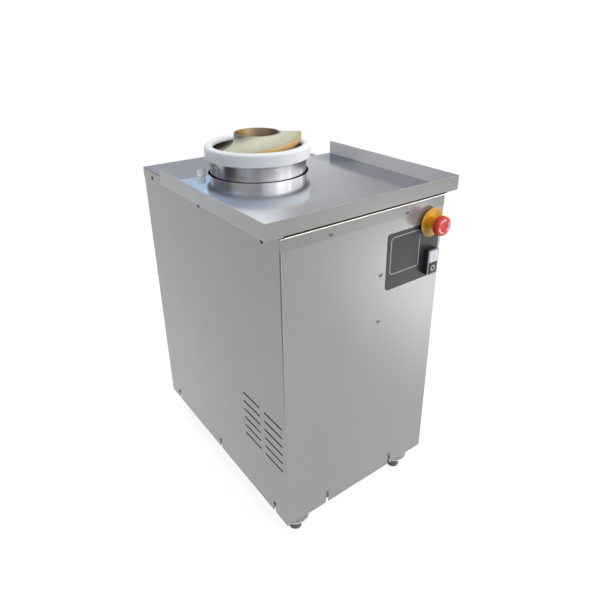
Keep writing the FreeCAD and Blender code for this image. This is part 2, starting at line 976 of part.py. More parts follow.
def auger_body(label, lift="0"):
    """A body on the drum's axis, lifted and turned with the helix that ends at its place over the ring."""
    body = new_body(label, y="drum_y", z="spindle_top + " + lift)
    turn = "flight_start + 360 * (%s) / flight_pitch" % lift
    body.Placement = Placement(body.Placement.Base, Rotation(Vector(0, 0, 1), number(turn)))
    body.setExpression("Placement.Rotation.Angle", sized("mod(%s; 360)" % turn))
    return body


def cut_window(body):
    """The window in the tube's wall, with the flight below it cut level."""
    window = new_sketch(body, lift="window_level")
    inner = "auger_bore - overrun"
    outer = "auger_radius + window_sill"
    outline(
        window,
        [
            ("(%s) * cos(window_start)" % inner, "(%s) * sin(window_start)" % inner),
            ("(%s) * cos(window_start)" % outer, "(%s) * sin(window_start)" % outer),
            ("(%s) * cos(window_middle)" % outer, "(%s) * sin(window_middle)" % outer),
            ("(%s) * cos(window_end)" % outer, "(%s) * sin(window_end)" % outer),
            ("(%s) * cos(window_end)" % inner, "(%s) * sin(window_end)" % inner),
        ],
    )
    pocket(body, window, "window_height")


def make_auger_tube():
    body = auger_body("auger_tube")
    plug = new_sketch(body)
    circle(plug, "0", "0", "auger_bore")
    pad(body, plug, "window_level + ramp_height")
    slope = new_sketch(body, "XZ_Plane")
    slope.AttachmentOffset = Placement(Vector(0, 0, 0), Rotation(Vector(0, 1, 0), number("window_middle")))
    outline(
        slope,
        [
            ("-auger_bore", "window_level + ramp_height"),
            ("auger_bore", "window_level"),
            ("auger_bore + overrun", "window_level"),
            ("auger_bore + overrun", "window_level + ramp_height + overrun"),
            ("-auger_bore", "window_level + ramp_height + overrun"),
        ],
    )
    ramp = pocket(body, slope)
    ramp.Midplane = True
    doc.recompute()
    tube = new_sketch(body, "XZ_Plane")
    outline(
        tube,
        [
            ("auger_bore", "0"),
            ("auger_radius", "0"),
            ("auger_radius", "auger_height - auger_rim"),
            ("auger_radius - auger_rim", "auger_height"),
            ("auger_bore + auger_rim", "auger_height"),
            ("auger_bore", "auger_height - auger_rim"),
        ],
    )
    revolve(body, tube)
    cut_window(body)
    socket = new_sketch(body)
    socket.AttachmentOffset = Placement(Vector(0, 0, 0), Rotation(Vector(0, 0, 1), -number("flight_start")))
    socket.setExpression("AttachmentOffset.Rotation.Angle", sized("mod(-flight_start; 360)"))
    box_outline(
        socket,
        "-tang_half - socket_gap",
        "-tang_half - socket_gap",
        "tang_half + socket_gap",
        "tang_half + socket_gap",
    )
    pocket(body, socket, "tang_height + socket_gap")
    return body


def make_flight(label, lift):
    """Half of the flight's turns, from a lift above the auger's foot."""
    body = auger_body(label, lift)
    section = new_sketch(body, "XZ_Plane")
    flight_section(section)
    flight = body.newObject("PartDesign::AdditiveHelix", label + "_sweep")
    flight.Profile = section
    flight.ReferenceAxis = (section, ["V_Axis"])
    flight.Mode = 0
    flight.setExpression("Pitch", sized("flight_pitch"))
    flight.setExpression("Height", sized("flight_rise / 2"))
    flight.Angle = 0
    flight.LeftHanded = False
    flight.Reversed = False
    doc.recompute()
    return body


def make_auger_flight():
    lower = make_flight("auger_flight_lower", "0")
    cut_window(lower)
    upper = make_flight("auger_flight_upper", "flight_rise / 2")
    above = new_sketch(upper, lift="auger_height - flight_rise / 2")
    circle(above, "0", "0", "flight_radius + overrun")
    pocket(upper, above)
    return lower, upper


def flight_section(sketch):
    """The flight across its width: level below, blunt at the rim and dished above, up to the tube."""
    low = [point("flight_root", "0"), point("flight_radius", "0")]
    high = [point("flight_radius", "flight_edge"), point("flight_root", "flight_edge + flight_dish")]
    across = high[1] - high[0]
    sag = Vector(across.y, -across.x, 0).normalize() * number("-flight_swell")
    arc = Part.Arc(high[0], (high[0] + high[1]) / 2 + sag, high[1])
    base = sketch.addGeometry(Part.LineSegment(low[0], low[1]), False)
    rim = sketch.addGeometry(Part.LineSegment(low[1], high[0]), False)
    dish = sketch.addGeometry(arc, False)
    inner = sketch.addGeometry(Part.LineSegment(high[1], low[0]), False)
    ends = dish_ends(sketch, dish, high[0])
    for a, end_a, b, end_b in (
        (base, 2, rim, 1),
        (rim, 2, dish, ends[0]),
        (dish, ends[1], inner, 1),
        (inner, 2, base, 1),
    ):
        sketch.addConstraint(Sketcher.Constraint("Coincident", a, end_a, b, end_b))
    hold(sketch, base, 1, "flight_root", "0")
    hold(sketch, base, 2, "flight_radius", "0")
    hold(sketch, rim, 2, "flight_radius", "flight_edge")
    hold(sketch, inner, 1, "flight_root", "flight_edge + flight_dish")
    tie(sketch, "Radius", "(flight_chord ^ 2 / 4 + flight_swell ^ 2) / (2 * flight_swell)", dish)


def dish_ends(sketch, arc, first):
    """Which end of the arc lies at the first place, and which at the other."""
    start = sketch.getPoint(arc, 1)
    return (1, 2) if (start - first).Length < hair else (2, 1)


make_auger_tube()
make_auger_flight()

# Drive: a fixed spindle, the hub that turns on it, pulleys, belt and motor


def make_spindle():
    body = new_body("spindle", y="drum_y", z="plate_top")
    sketch = new_sketch(body, "XZ_Plane")
    outline(
        sketch,
        [
            ("0", "0"),
            ("spindle_flange", "0"),
            ("spindle_flange", "spindle_flange_wall"),
            ("spindle_shoulder", "spindle_flange_wall"),
            ("spindle_shoulder", "hub_z - plate_top - bearing_gap"),
            ("spindle_radius", "hub_z - plate_top - bearing_gap"),
            ("spindle_radius", "spindle_top - plate_top"),
            ("0", "spindle_top - plate_top"),
        ],
    )
    revolve(body, sketch)
    tang = new_sketch(body, lift="spindle_top - plate_top")
    box_outline(tang, "-tang_half", "-tang_half", "tang_half", "tang_half")
    pad(body, tang, "tang_height")
    holes = new_sketch(body)
    four_circles(holes, "spindle_bolt_circle", "0")
    pocket(body, holes, "spindle_flange_wall")
    return body


def four_circles(sketch, bolt_circle, middle):
    for x in ("-1", "1"):
        for y in ("-1", "1"):
            circle(
                sketch,
                "%s * %s / sqrt(2)" % (x, bolt_circle),
                "%s + %s * %s / sqrt(2)" % (middle, y, bolt_circle),
                "hub_screw_radius",
            )


def make_hub():
    body = new_body("drum_hub", y="drum_y", z="hub_z")
    sketch = new_sketch(body, "XZ_Plane")
    collar = "belt_z - hub_z + pulley_web / 2"
    outline(
        sketch,
        [
            ("bearing_radius", "0"),
            ("hub_radius", "0"),
            ("hub_radius", collar),
            ("hub_collar", collar),
            ("hub_collar", collar + " + hub_collar_wall"),
            ("hub_radius", collar + " + hub_collar_wall"),
            ("hub_radius", "hub_height - hub_flange_wall"),
            ("hub_flange", "hub_height - hub_flange_wall"),
            ("hub_flange", "hub_height"),
            ("bearing_radius", "hub_height"),
            ("bearing_radius", "upper_seat"),
            ("hub_bore", "upper_seat"),
            ("hub_bore", "bearing_width"),
            ("bearing_radius", "bearing_width"),
        ],
    )
    revolve(body, sketch)
    top = new_sketch(body, lift="hub_height")
    circle(top, "hub_bolt_circle", "0", "hub_screw_radius")
    around(body, pocket(body, top, "hub_flange_wall", forward=False), top, "hub_screw_count")
    under = new_sketch(body)
    circle(under, "pulley_bolt_circle", "0", "hub_screw_radius")
    around(body, pocket(body, under, collar + " + hub_collar_wall"), under, "pulley_screw_count")
    return body


def make_bearing(label, level):
    """A sealed ball bearing, with a shallow groove in each face between its two rings."""
    groove_in = "spindle_radius + (bearing_radius - spindle_radius) / 4"
    groove_out = "bearing_radius - (bearing_radius - spindle_radius) / 4"
    return turned(
        label,
        [
            ("spindle_radius + bearing_play", "0"),
            (groove_in, "0"),
            (groove_in, "bearing_groove"),
            (groove_out, "bearing_groove"),
            (groove_out, "0"),
            ("bearing_radius", "0"),
            ("bearing_radius", "bearing_width"),
            (groove_out, "bearing_width"),
            (groove_out, "bearing_width - bearing_groove"),
            (groove_in, "bearing_width - bearing_groove"),
            (groove_in, "bearing_width"),
            ("spindle_radius + bearing_play", "bearing_width"),
        ],
        y="drum_y",
        z=level,
    )


def make_pulley(label, radius, bore, web, place_y):
    """A pulley with one V groove, made about the middle plane of its belt."""
    body = new_body(label, y=place_y, z="belt_z")
    sketch = new_sketch(body, "XZ_Plane")
    rim = "%s - groove_depth - rim_wall" % radius
    floor = "%s - groove_depth" % radius
    half = "pulley_width / 2"
    outer = "groove_width / 2"
    inner = "groove_width / 2 - groove_depth * groove_lean_share"
    ends = [(floor, "-(%s)" % inner), (floor, inner), (radius, outer), (radius, half)]
    start = [(radius, "-" + half), (radius, "-" + outer)]
    if web:
        places = [(bore, "-pulley_web / 2"), (rim, "-pulley_web / 2"), (rim, "-" + half)] + start + ends
        places += [(rim, half), (rim, "pulley_web / 2"), (bore, "pulley_web / 2")]
    else:
        places = [(bore, "-" + half)] + start + ends + [(bore, half)]
    outline(sketch, places)
    revolve(body, sketch)
    return body


def make_drum_pulley():
    body = make_pulley("drum_pulley", "drum_pulley_radius", "hub_radius", True, "drum_y")
    light = new_sketch(body, lift="-pulley_width")
    circle(light, "(hub_collar + drum_pulley_radius - groove_depth) / 2", "0", "light_radius")
    around(body, pocket(body, light), light, "light_hole_count")
    screws = new_sketch(body, lift="-pulley_width")
    circle(screws, "pulley_bolt_circle", "0", "hub_screw_radius")
    around(body, pocket(body, screws), screws, "pulley_screw_count")
    return body


def make_belt():
    """A V belt round both pulleys: a tapered section carried along its pitch line."""
    body = new_body("drive_belt", y="drum_y", z="belt_z")
    big = number("belt_big")
    small = number("belt_small")
    reach = number("belt_centres")
    lean = math.asin((big - small) / reach)
    far = Vector(0, -reach, 0)

    def side(sign, middle, radius):
        return middle + Vector(sign * radius * math.cos(lean), -radius * math.sin(lean), 0)

    path = new_sketch(body)
    up = Vector(0, 0, 1)
    big_circle = Part.Circle(Vector(0, 0, 0), up, big)
    small_circle = Part.Circle(far, up, small)
    left_arc = path.addGeometry(Part.ArcOfCircle(big_circle, math.pi / 2, math.pi + lean), False)
    left_run = path.addGeometry(Part.LineSegment(side(-1, Vector(0, 0, 0), big), side(-1, far, small)), False)
    end_arc = path.addGeometry(Part.ArcOfCircle(small_circle, math.pi + lean, 2 * math.pi - lean), False)
    right_run = path.addGeometry(Part.LineSegment(side(1, far, small), side(1, Vector(0, 0, 0), big)), False)
    right_arc = path.addGeometry(Part.ArcOfCircle(big_circle, -lean, math.pi / 2), False)
    hold(path, left_arc, 3, "0", "0")
    hold(path, right_arc, 3, "0", "0")
    hold(path, end_arc, 3, "0", "-belt_centres")
    tie(path, "Radius", "belt_big", left_arc)
    tie(path, "Radius", "belt_small", end_arc)
    tie(path, "DistanceX", "0", -1, 1, left_arc, 1)
    path.addConstraint(Sketcher.Constraint("Coincident", right_arc, 2, left_arc, 1))
    for a, end_a, b, end_b in (
        (left_arc, 2, left_run, 1),
        (left_run, 2, end_arc, 1),
        (end_arc, 2, right_run, 1),
        (right_run, 2, right_arc, 1),
    ):
        path.addConstraint(Sketcher.Constraint("Tangent", a, end_a, b, end_b))
    section = new_sketch(body, "YZ_Plane")
    outer = "drum_pulley_radius"
    inner = "drum_pulley_radius - belt_wall"
    wide = "belt_width / 2"
    narrow = "belt_width / 2 - belt_wall * groove_lean_share"
    outline(section, [(outer, "-" + wide), (outer, wide), (inner, narrow), (inner, "-(%s)" % narrow)])
    doc.recompute()
    pipe = body.newObject("PartDesign::AdditivePipe", "drive_belt_pipe")
    pipe.Profile = section
    pipe.Spine = (path, ["Edge%d" % (k + 1) for k in range(path.GeometryCount)])
    doc.recompute()
    return body


def make_motor():
    body = new_body("motor_body", y="motor_y", z="plate_z")
    sketch = new_sketch(body, "XZ_Plane")
    outline(
        sketch,
        [
            ("shaft_radius + shaft_play", "plate_wall"),
            ("motor_spigot", "plate_wall"),
            ("motor_spigot", "0"),
            ("motor_flange", "0"),
            ("motor_flange", "-motor_flange_wall"),
            ("motor_radius", "-motor_flange_wall"),
            ("motor_radius", "-motor_flange_wall - motor_length + motor_collar"),
            ("motor_radius + fin_rise - cover_wall", "-motor_flange_wall - motor_length + motor_collar"),
            ("motor_radius + fin_rise - cover_wall", "-motor_flange_wall - motor_length"),
            ("shaft_radius + shaft_play", "-motor_flange_wall - motor_length"),
        ],
    )
    revolve(body, sketch)
    fin = new_sketch(body, lift="-motor_flange_wall - motor_length + motor_collar")
    box_outline(fin, "motor_radius - fin_wall", "-fin_wall / 2", "motor_radius + fin_rise", "fin_wall / 2")
    around(body, pad(body, fin, "motor_length - motor_collar"), fin, "fin_count")
    seat_face = new_sketch(body, lift="-motor_flange_wall - motor_length / 2 - motor_box_length / 2")
    box_outline(
        seat_face,
        "-motor_radius - fin_rise - fin_wall",
        "-motor_box_width / 2 + fin_wall",
        "-motor_radius + fin_rise",
        "motor_box_width / 2 - fin_wall",
    )
    pad(body, seat_face, "motor_box_length")
    holes = new_sketch(body, lift="-motor_flange_wall")
    four_circles(holes, "motor_bolt_circle", "0")
    pocket(body, holes, "motor_flange_wall")
    return body


def make_motor_box():
    body = new_body("motor_box", y="motor_y", z="plate_z - motor_flange_wall - motor_length / 2")
    sketch = new_sketch(body, lift="-motor_box_length / 2")
    face = "-motor_radius - fin_rise - fin_wall"
    box_outline(sketch, face + " - motor_box_depth", "-motor_box_width / 2", face, "motor_box_width / 2")
    pad(body, sketch, "motor_box_length")
    outer = number(face + " - motor_box_depth")
    soften(body, "bend_radius", lambda edge: same(edge.BoundBox.XMax, outer))
    return body


def make_fan_cover():
    low = "-motor_flange_wall - motor_length"
    body = turned(
        "fan_cover",
        [
            ("0", low + " - cover_length"),
            ("motor_radius + fin_rise", low + " - cover_length"),
            ("motor_radius + fin_rise", low + " + motor_collar"),
            ("motor_radius + fin_rise - cover_wall", low + " + motor_collar"),
            ("motor_radius + fin_rise - cover_wall", low + " - cover_length + cover_wall"),
            ("0", low + " - cover_length + cover_wall"),
        ],
        y="motor_y",
        z="plate_z",
    )
    grille = new_sketch(body, lift=low + " - cover_length - overrun")
    circle(grille, "motor_radius / 2", "0", "motor_radius / 6")
    around(body, pocket(body, grille, "2 * overrun"), grille, "grille_hole_count")
    return body


def make_rotor():
    tail = "-motor_flange_wall - motor_length - shaft_tail"
    turned(
        "motor_shaft",
        [("0", tail), ("shaft_radius", tail), ("shaft_radius", "shaft_rise"), ("0", "shaft_rise")],
        y="motor_y",
        z="plate_z",
    )
    make_pulley("motor_pulley", "motor_pulley_radius", "shaft_radius", False, "motor_y")
    fan = turned(
        "motor_fan",
        [
            ("shaft_radius", tail),
            ("fan_hub", tail),
            ("fan_hub", tail + " + fan_width"),
            ("shaft_radius", tail + " + fan_width"),
        ],
        y="motor_y",
        z="plate_z",
    )
    blade = new_sketch(fan, lift=tail)
    box_outline(blade, "fan_hub - blade_wall", "-blade_wall / 2", "fan_radius", "blade_wall / 2")
    around(fan, pad(fan, blade, "fan_width"), blade, "fan_blades")


def bolts(y, level, radius, count, length, down=1, turn=0.0, flush=False):
    """Screws on a circle. level is the seat of their heads, and down is 1 when the shank points down."""
    middle = point("mid_x", y, level)
    shank = number("hub_screw_radius")
    rise = number("hub_screw_rise")
    many = int(number(count))
    solids = []
    for k in range(many):
        angle = turn + 2 * math.pi * k / many
        spot = middle + Vector(math.cos(angle), math.sin(angle), 0) * number(radius)
        rod = Part.makeCylinder(shank, number(length), spot, Vector(0, 0, -down))
        if not flush:
            head = hex_prism(2 * number("hub_screw_head"), rise)
            if down < 0:
                head.translate(Vector(0, 0, -rise))
            head.translate(spot)
            rod = rod.fuse(head).removeSplitter()
        solids.append(rod)
    return solids


def make_drive_screws():
    """One node for the screws that turn with the drum, one for those in the drive plate."""
    floor_length = "drum_floor + hub_flange_wall"
    web_length = "pulley_web + hub_collar_wall"
    web_level = "belt_z - pulley_web / 2"
    through_floor = bolts(
        "drum_y", "drum_floor_z", "hub_bolt_circle", "hub_screw_count", floor_length, flush=True
    )
    through_web = bolts(
        "drum_y", web_level, "pulley_bolt_circle", "pulley_screw_count", web_length, down=-1
    )
    compound("drum_screws", through_floor + through_web)
    quarter = math.pi / number("flange_screw_count")
    spindle_level = "plate_top + spindle_flange_wall"
    spindle_length = "spindle_flange_wall + plate_wall"
    motor_length = "plate_wall + motor_flange_wall"
    spindle = bolts(
        "drum_y", spindle_level, "spindle_bolt_circle", "flange_screw_count", spindle_length, turn=quarter
    )
    motor = bolts(
        "motor_y", "plate_top", "motor_bolt_circle", "flange_screw_count", motor_length, turn=quarter
    )
    compound("plate_screws", spindle + motor)


make_spindle()
make_hub()
make_bearing("lower_bearing", "hub_z")
make_bearing("upper_bearing", "hub_z + upper_seat")
turned(
    "spindle_nut",
    [
        ("spindle_radius", "0"),
        ("spindle_nut_radius", "0"),
        ("spindle_nut_radius", "spindle_nut_wall"),
        ("spindle_radius", "spindle_nut_wall"),
    ],
    y="drum_y",
    z="hub_z + upper_seat + bearing_width + bearing_gap",
)
turned(
    "drum_seal",
    [
        ("spindle_radius + seal_play", "-drum_floor"),
        ("seal_radius", "-drum_floor"),
        ("seal_radius", "0"),
        ("spindle_radius + seal_play", "0"),
    ],
    y="drum_y",
    z="drum_floor_z",
)
make_drum_pulley()
make_belt()
make_motor()
make_motor_box()
make_fan_cover()
make_rotor()
make_drive_screws()

# Controls on the front panel


def make_label_plate():
    body = new_body("control_plate", y="front_y", z="top_z")
    sketch = new_sketch(body, "XZ_Plane")
    box_outline(sketch, "label_left", "-label_bottom", "label_right", "-label_top")
    pad(body, sketch, "label_wall")
    wall = number("label_wall")
    soften(body, "label_round", lambda edge: same(edge.BoundBox.YLength, wall))
    holes = new_sketch(body, "XZ_Plane", "-overrun")
    circle(holes, "estop_across", "-estop_drop", "estop_hole")
    box_outline(
        holes,
        "switch_across - switch_body_width / 2",
        "-switch_drop - switch_body_height / 2",
        "switch_across + switch_body_width / 2",
        "-switch_drop + switch_body_height / 2",
    )
    pocket(body, holes)
    return body


def front_turned(label, places):
    """A body of revolution about the emergency stop's axis, its Z from the control plate to the front."""
    body = turned(label, places, "estop_x", "label_front", "estop_z")
    body.Placement = Placement(body.Placement.Base, Rotation(Vector(1, 0, 0), 90))
    return body


def make_estop():
    front_turned(
        "estop_collar",
        [
            ("stem_core + stem_play", "-sleeve_depth"),
            ("estop_hole - estop_play", "-sleeve_depth"),
            ("estop_hole - estop_play", "0"),
            ("collar_base", "0"),
            ("collar_base + collar_wall", "collar_wall / 2"),
            ("collar_radius", "collar_depth - collar_wall / 2"),
            ("collar_radius", "collar_depth"),
            ("collar_radius - collar_wall", "collar_depth"),
            ("collar_base", "collar_wall * 1.5"),
            ("neck_radius", "collar_wall * 1.5"),
            ("neck_radius", "neck_length"),
            ("stem_core + stem_play", "neck_length"),
        ],
    )
    back = "estop_reach - head_depth"
    recess = back + " + press_travel + press_spare"
    front_turned(
        "estop_head",
        [
            ("0", "stem_end + stem_play"),
            ("stem_core + stem_play", "stem_end + stem_play"),
            ("stem_core + stem_play", recess),
            ("neck_radius + head_play", recess),
            ("neck_radius + head_play", back),
            ("head_radius - head_round / 2", back),
            ("head_radius", back + " + head_round / 2"),
            ("head_radius", "estop_reach - head_round"),
            ("head_radius - head_round / 3", "estop_reach - head_round / 3"),
            ("head_radius - head_round", "estop_reach"),
            ("0", "estop_reach"),
        ],
    )
    front_turned(
        "estop_stem",
        [
            ("0", "-sleeve_depth"),
            ("stem_core", "-sleeve_depth"),
            ("stem_core", "stem_end"),
            ("0", "stem_end"),
        ],
    )
    nut = "-label_wall - sheet_wall"
    front_turned(
        "estop_ring_nut",
        [
            ("estop_hole - estop_play", nut + " - nut_ring_wall"),
            ("nut_ring_radius", nut + " - nut_ring_wall"),
            ("nut_ring_radius", nut),
            ("estop_hole - estop_play", nut),
        ],
    )
    block = new_body("estop_contact_block", "estop_x", "label_front", "estop_z")
    sketch = new_sketch(block, "XZ_Plane", "-sleeve_depth - block_depth")
    box_outline(sketch, "-block_width / 2", "-block_height / 2", "block_width / 2", "block_height / 2")
    pad(block, sketch, "block_depth")
    well = new_sketch(block, "XZ_Plane", "-sleeve_depth")
    circle(well, "0", "0", "stem_core + head_play")
    pocket(block, well, "press_travel + press_spare", forward=False)


def make_switch():
    """A two-button switch: a black housing, a light bezel on it, the contact body behind the panel."""
    side = "switch_width / 2"
    high = "switch_height / 2"
    housing = new_body("switch_housing", "switch_x", "label_front", "switch_z")
    sketch = new_sketch(housing, "XZ_Plane")
    box_outline(sketch, "-" + side, "-" + high, side, high)
    pad(housing, sketch, "switch_depth")
    depth = number("switch_depth")
    soften(housing, "switch_round", lambda edge: same(edge.BoundBox.YLength, depth))
    wells = new_sketch(housing, "XZ_Plane", "switch_depth")
    button_wells(wells)
    pocket(housing, wells, "switch_depth - bezel_wall", forward=False)
    bezel = new_body("switch_bezel", "switch_x", "label_front - switch_depth", "switch_z")
    sketch = new_sketch(bezel, "XZ_Plane")
    box_outline(sketch, "-" + side, "-" + high, side, high)
    pad(bezel, sketch, "bezel_wall")
    wall = number("bezel_wall")
    soften(bezel, "switch_round", lambda edge: same(edge.BoundBox.YLength, wall))
    wells = new_sketch(bezel, "XZ_Plane")
    button_wells(wells)
    pocket(bezel, wells)
    contacts = new_body("switch_contacts", "switch_x", "label_front", "switch_z")
    sketch = new_sketch(contacts, "XZ_Plane", "-switch_body_depth")
    box_outline(
        sketch,
        "-switch_body_width / 2",
        "-switch_body_height / 2",
        "switch_body_width / 2",
        "switch_body_height / 2",
    )
    pad(contacts, sketch, "switch_body_depth")
    make_button("start_button", "bezel_frame / 4", high + " - bezel_frame")
    make_button("stop_button", "-%s + bezel_frame" % high, "-bezel_frame / 4")


def button_wells(sketch):
    x = "switch_width / 2 - bezel_frame"
    high = "switch_height / 2 - bezel_frame"
    box_outline(sketch, "-(%s)" % x, "bezel_frame / 4", x, high)
    box_outline(sketch, "-(%s)" % x, "-(%s)" % high, x, "-bezel_frame / 4")


def make_button(label, low, high):
    """A button that fills its well but for its play, and can travel in to near the well's floor."""
    floor = "bezel_wall + button_travel + button_play"
    body = new_body(label, "switch_x", "label_front", "switch_z")
    sketch = new_sketch(body, "XZ_Plane", floor)
    x = "switch_width / 2 - bezel_frame - button_play"
    box_outline(sketch, "-(%s)" % x, low + " + button_play", x, high + " - button_play")
    pad(body, sketch, "switch_depth + bezel_wall + button_proud - (%s)" % floor)
    front = number("switch_depth + bezel_wall + button_proud")
    soften(body, "button_round", lambda edge: same(edge.BoundBox.YMax, -front))


make_label_plate()
make_estop()
make_switch()

# Electrical gear behind the front panel, and the gland in the back panel


def make_bracket():
    body = new_body("control_bracket", y="front_y + sheet_wall", z="top_z")
    sketch = new_sketch(body, lift="-bracket_top - bracket_pitch - bracket_margin")
    left = "bracket_across - bracket_width / 2"
    right = "bracket_across + bracket_width / 2"
    outline(
        sketch,
        [
            (left, "0"),
            (right, "0"),
            (right, "bracket_depth"),
            (right + " - bracket_wall", "bracket_depth"),
            (right + " - bracket_wall", "bracket_wall"),
            (left, "bracket_wall"),
        ],
    )
    pad(body, sketch, "bracket_pitch + 2 * bracket_margin")
    holes = new_sketch(body, "XZ_Plane", "-bracket_depth / 2")
    circle(holes, "bracket_across", "-bracket_top", "screw_radius")
    circle(holes, "bracket_across", "-bracket_top - bracket_pitch", "screw_radius")
    pocket(body, holes)
    return body


def make_gear():
    face = "bracket_across + bracket_width / 2 - bracket_wall"
    start = "bracket_depth - contactor_depth"
    contactor = new_body("contactor", y="front_y + sheet_wall", z="top_z - bracket_top - contactor_height")
    sketch = new_sketch(contactor)
    box_outline(sketch, "%s - contactor_width" % face, start, face, "bracket_depth")
    pad(contactor, sketch, "contactor_height")
    for level, lift in (("0", "0"), ("1", "contactor_height - contactor_step")):
        step = new_sketch(contactor, lift=lift)
        box_outline(
            step,
            "%s - contactor_width - overrun" % face,
            start + " - overrun",
            "%s - contactor_width + contactor_step" % face,
            "bracket_depth + overrun",
        )
        pocket(contactor, step, "contactor_step")
    terminals = new_body("terminal_block", y="front_y + sheet_wall", z="top_z - bracket_top - bracket_pitch")
    sketch = new_sketch(terminals)
    box_outline(sketch, "%s - terminal_width" % face, "bracket_depth - terminal_depth", face, "bracket_depth")
    pad(terminals, sketch, "terminal_height")
    wells = new_sketch(terminals, lift="terminal_height")
    first_y = "bracket_depth - terminal_depth / 5"
    circle(wells, "%s - terminal_width / 2" % face, first_y, "terminal_width / 6")
    first = pocket(terminals, wells, "terminal_height / 3", forward=False)
    row = terminals.newObject("PartDesign::LinearPattern", "terminal_row")
    row.Originals = [first]
    row.Direction = (wells, ["V_Axis"])
    row.Reversed = True
    row.setExpression("Length", sized("terminal_depth * 3 / 5"))
    row.setExpression("Occurrences", sized("terminal_count"))
    terminals.Tip = row
    doc.recompute()


def make_gland():
    """A cable gland: a threaded sleeve through the back panel, a hexagon and a domed nut outside."""
    body = new_body("cable_gland", "mid_x - gland_across", "mid_y + panel_y", "foot_height + gland_level")
    sketch = new_sketch(body, "XZ_Plane")
    body.Placement = Placement(body.Placement.Base, Rotation(Vector(1, 0, 0), -90))
    hexagon = "gland_nut_width / 2"
    outline(
        sketch,
        [
            ("gland_bore", "-gland_tail"),
            ("gland_radius", "-gland_tail"),
            ("gland_radius", "0"),
            (hexagon, "0"),
            (hexagon, "gland_reach / 3"),
            ("gland_radius", "gland_reach / 3"),
            ("gland_radius", "gland_reach * 2 / 3"),
            ("gland_bore + gland_tip", "gland_reach"),
            ("gland_bore", "gland_reach"),
        ],
    )
    revolve(body, sketch)
    nut = new_body("gland_nut", "mid_x - gland_across", "mid_y + panel_y", "foot_height + gland_level")
    nut.Placement = Placement(nut.Placement.Base, Rotation(Vector(1, 0, 0), -90))
    sketch = new_sketch(nut, lift="-sheet_wall - gland_nut_wall")
    corner = "gland_nut_width / sqrt(3)"
    outline(
        sketch,
        [("%s * cos(360 * %d / 6)" % (corner, k), "%s * sin(360 * %d / 6)" % (corner, k)) for k in range(6)],
    )
    pad(nut, sketch, "gland_nut_wall")
    bore = new_sketch(nut, lift="-sheet_wall - gland_nut_wall - overrun")
    circle(bore, "0", "0", "gland_radius")
    pocket(nut, bore)


make_bracket()
make_gear()
make_gland()

def check_and_write():
    doc.recompute()
    for item in doc.Objects:
        if "Invalid" in item.State or "Error" in item.State:
            raise ValueError("a feature failed: " + item.Label + " " + str(item.State))
    total = 0
    for piece in PIECES:
        if piece.Shape.isNull() or not piece.Shape.isValid():
            raise ValueError("a piece has no sound shape: " + piece.Label)
    os.makedirs("parts", exist_ok=True)
    for piece in PIECES:
        piece.Shape.exportStep("parts/" + piece.Label + ".step")
        total += len(piece.Shape.Solids)
        print("%-28s solids %d volume %.0f" % (piece.Label, len(piece.Shape.Solids), piece.Shape.Volume))
    print("nodes", len(PIECES), "solids", total)


check_and_write()
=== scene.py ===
# %% [markdown]
# This lesson dresses a dough rounder: a stainless steel cabinet on rubber feet, with a tray on top, a
# turning drum with a white ring, and a hollow bronze auger that stands still inside the drum.
# The imported CAD model is loaded first and never changed. Flat sheets keep their CAD shape and get
# better finishes, and the drum, ring, auger, stop, keys, feet and screws are worked out again as smooth
# surfaces that replace their nodes.

# %% Load the imported frame
import math

import bpy
import numpy as np
from mathutils import Matrix, Vector


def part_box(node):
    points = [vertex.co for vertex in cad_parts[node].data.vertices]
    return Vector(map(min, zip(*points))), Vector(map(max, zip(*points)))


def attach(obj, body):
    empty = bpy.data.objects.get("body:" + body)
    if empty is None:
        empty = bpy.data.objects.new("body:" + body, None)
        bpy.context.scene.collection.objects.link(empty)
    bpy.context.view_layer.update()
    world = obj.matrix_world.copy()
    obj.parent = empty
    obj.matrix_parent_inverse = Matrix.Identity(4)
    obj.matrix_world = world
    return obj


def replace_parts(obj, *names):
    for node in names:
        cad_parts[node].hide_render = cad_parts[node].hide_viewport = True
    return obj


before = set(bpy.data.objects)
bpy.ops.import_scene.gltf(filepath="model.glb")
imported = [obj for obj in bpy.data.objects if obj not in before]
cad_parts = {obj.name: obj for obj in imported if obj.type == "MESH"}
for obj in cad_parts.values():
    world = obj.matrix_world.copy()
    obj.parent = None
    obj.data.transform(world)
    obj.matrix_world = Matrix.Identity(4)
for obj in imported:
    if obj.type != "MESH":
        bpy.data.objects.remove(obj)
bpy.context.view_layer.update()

MM = 0.001


# %% Places that the pieces share
def middle(name, unit=1):
    """The centre of a node's box, in metres or in the unit given."""
    return (np.add(*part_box(name)) / 2 / unit).tolist()


drum_x, drum_y = middle("drum")[:2]
mid_x, mid_y = middle("top_cover")[:2]
cover_low, cover_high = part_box("top_cover")
cover_top = cover_high.z
print("drum axis", drum_x, drum_y, "cover top", cover_top)

# %% [markdown]
# A finish is a material with its plain values on the Principled shader's own sockets. Small helpers
# then add what makes it real: a slow change of colour and gloss, and a fine grain in the normal.
# All of them read Object coordinates, so a pattern stays on its piece in every pose and view.


# %% Nodes and noise
def shader_of(mat):
    return mat.node_tree.nodes["Principled BSDF"]


def feed(mat, socket, value):
    """Sets an input, or joins it to an output, or to the first output that a node has in use."""
    if isinstance(value, bpy.types.Node):
        value = next(output for output in value.outputs if output.enabled)
    if isinstance(value, bpy.types.NodeSocket):
        mat.node_tree.links.new(value, socket)
    else:
        socket.default_value = value


def node(mat, kind, *values, **settings):
    """A new node. Settings are its properties or, with _ for a space, its inputs. Values fill the first
    inputs in order."""
    made = mat.node_tree.nodes.new("ShaderNode" + kind)
    for name, value in settings.items():
        socket = made.inputs.get(name.replace("_", " "))
        if socket is None:
            setattr(made, name, value)
        else:
            feed(mat, socket, value)
    for socket, value in zip(made.inputs, values):
        feed(mat, socket, value)
    return made


def coordinates(mat, source="Object"):
    return node(mat, "TexCoord").outputs[source]


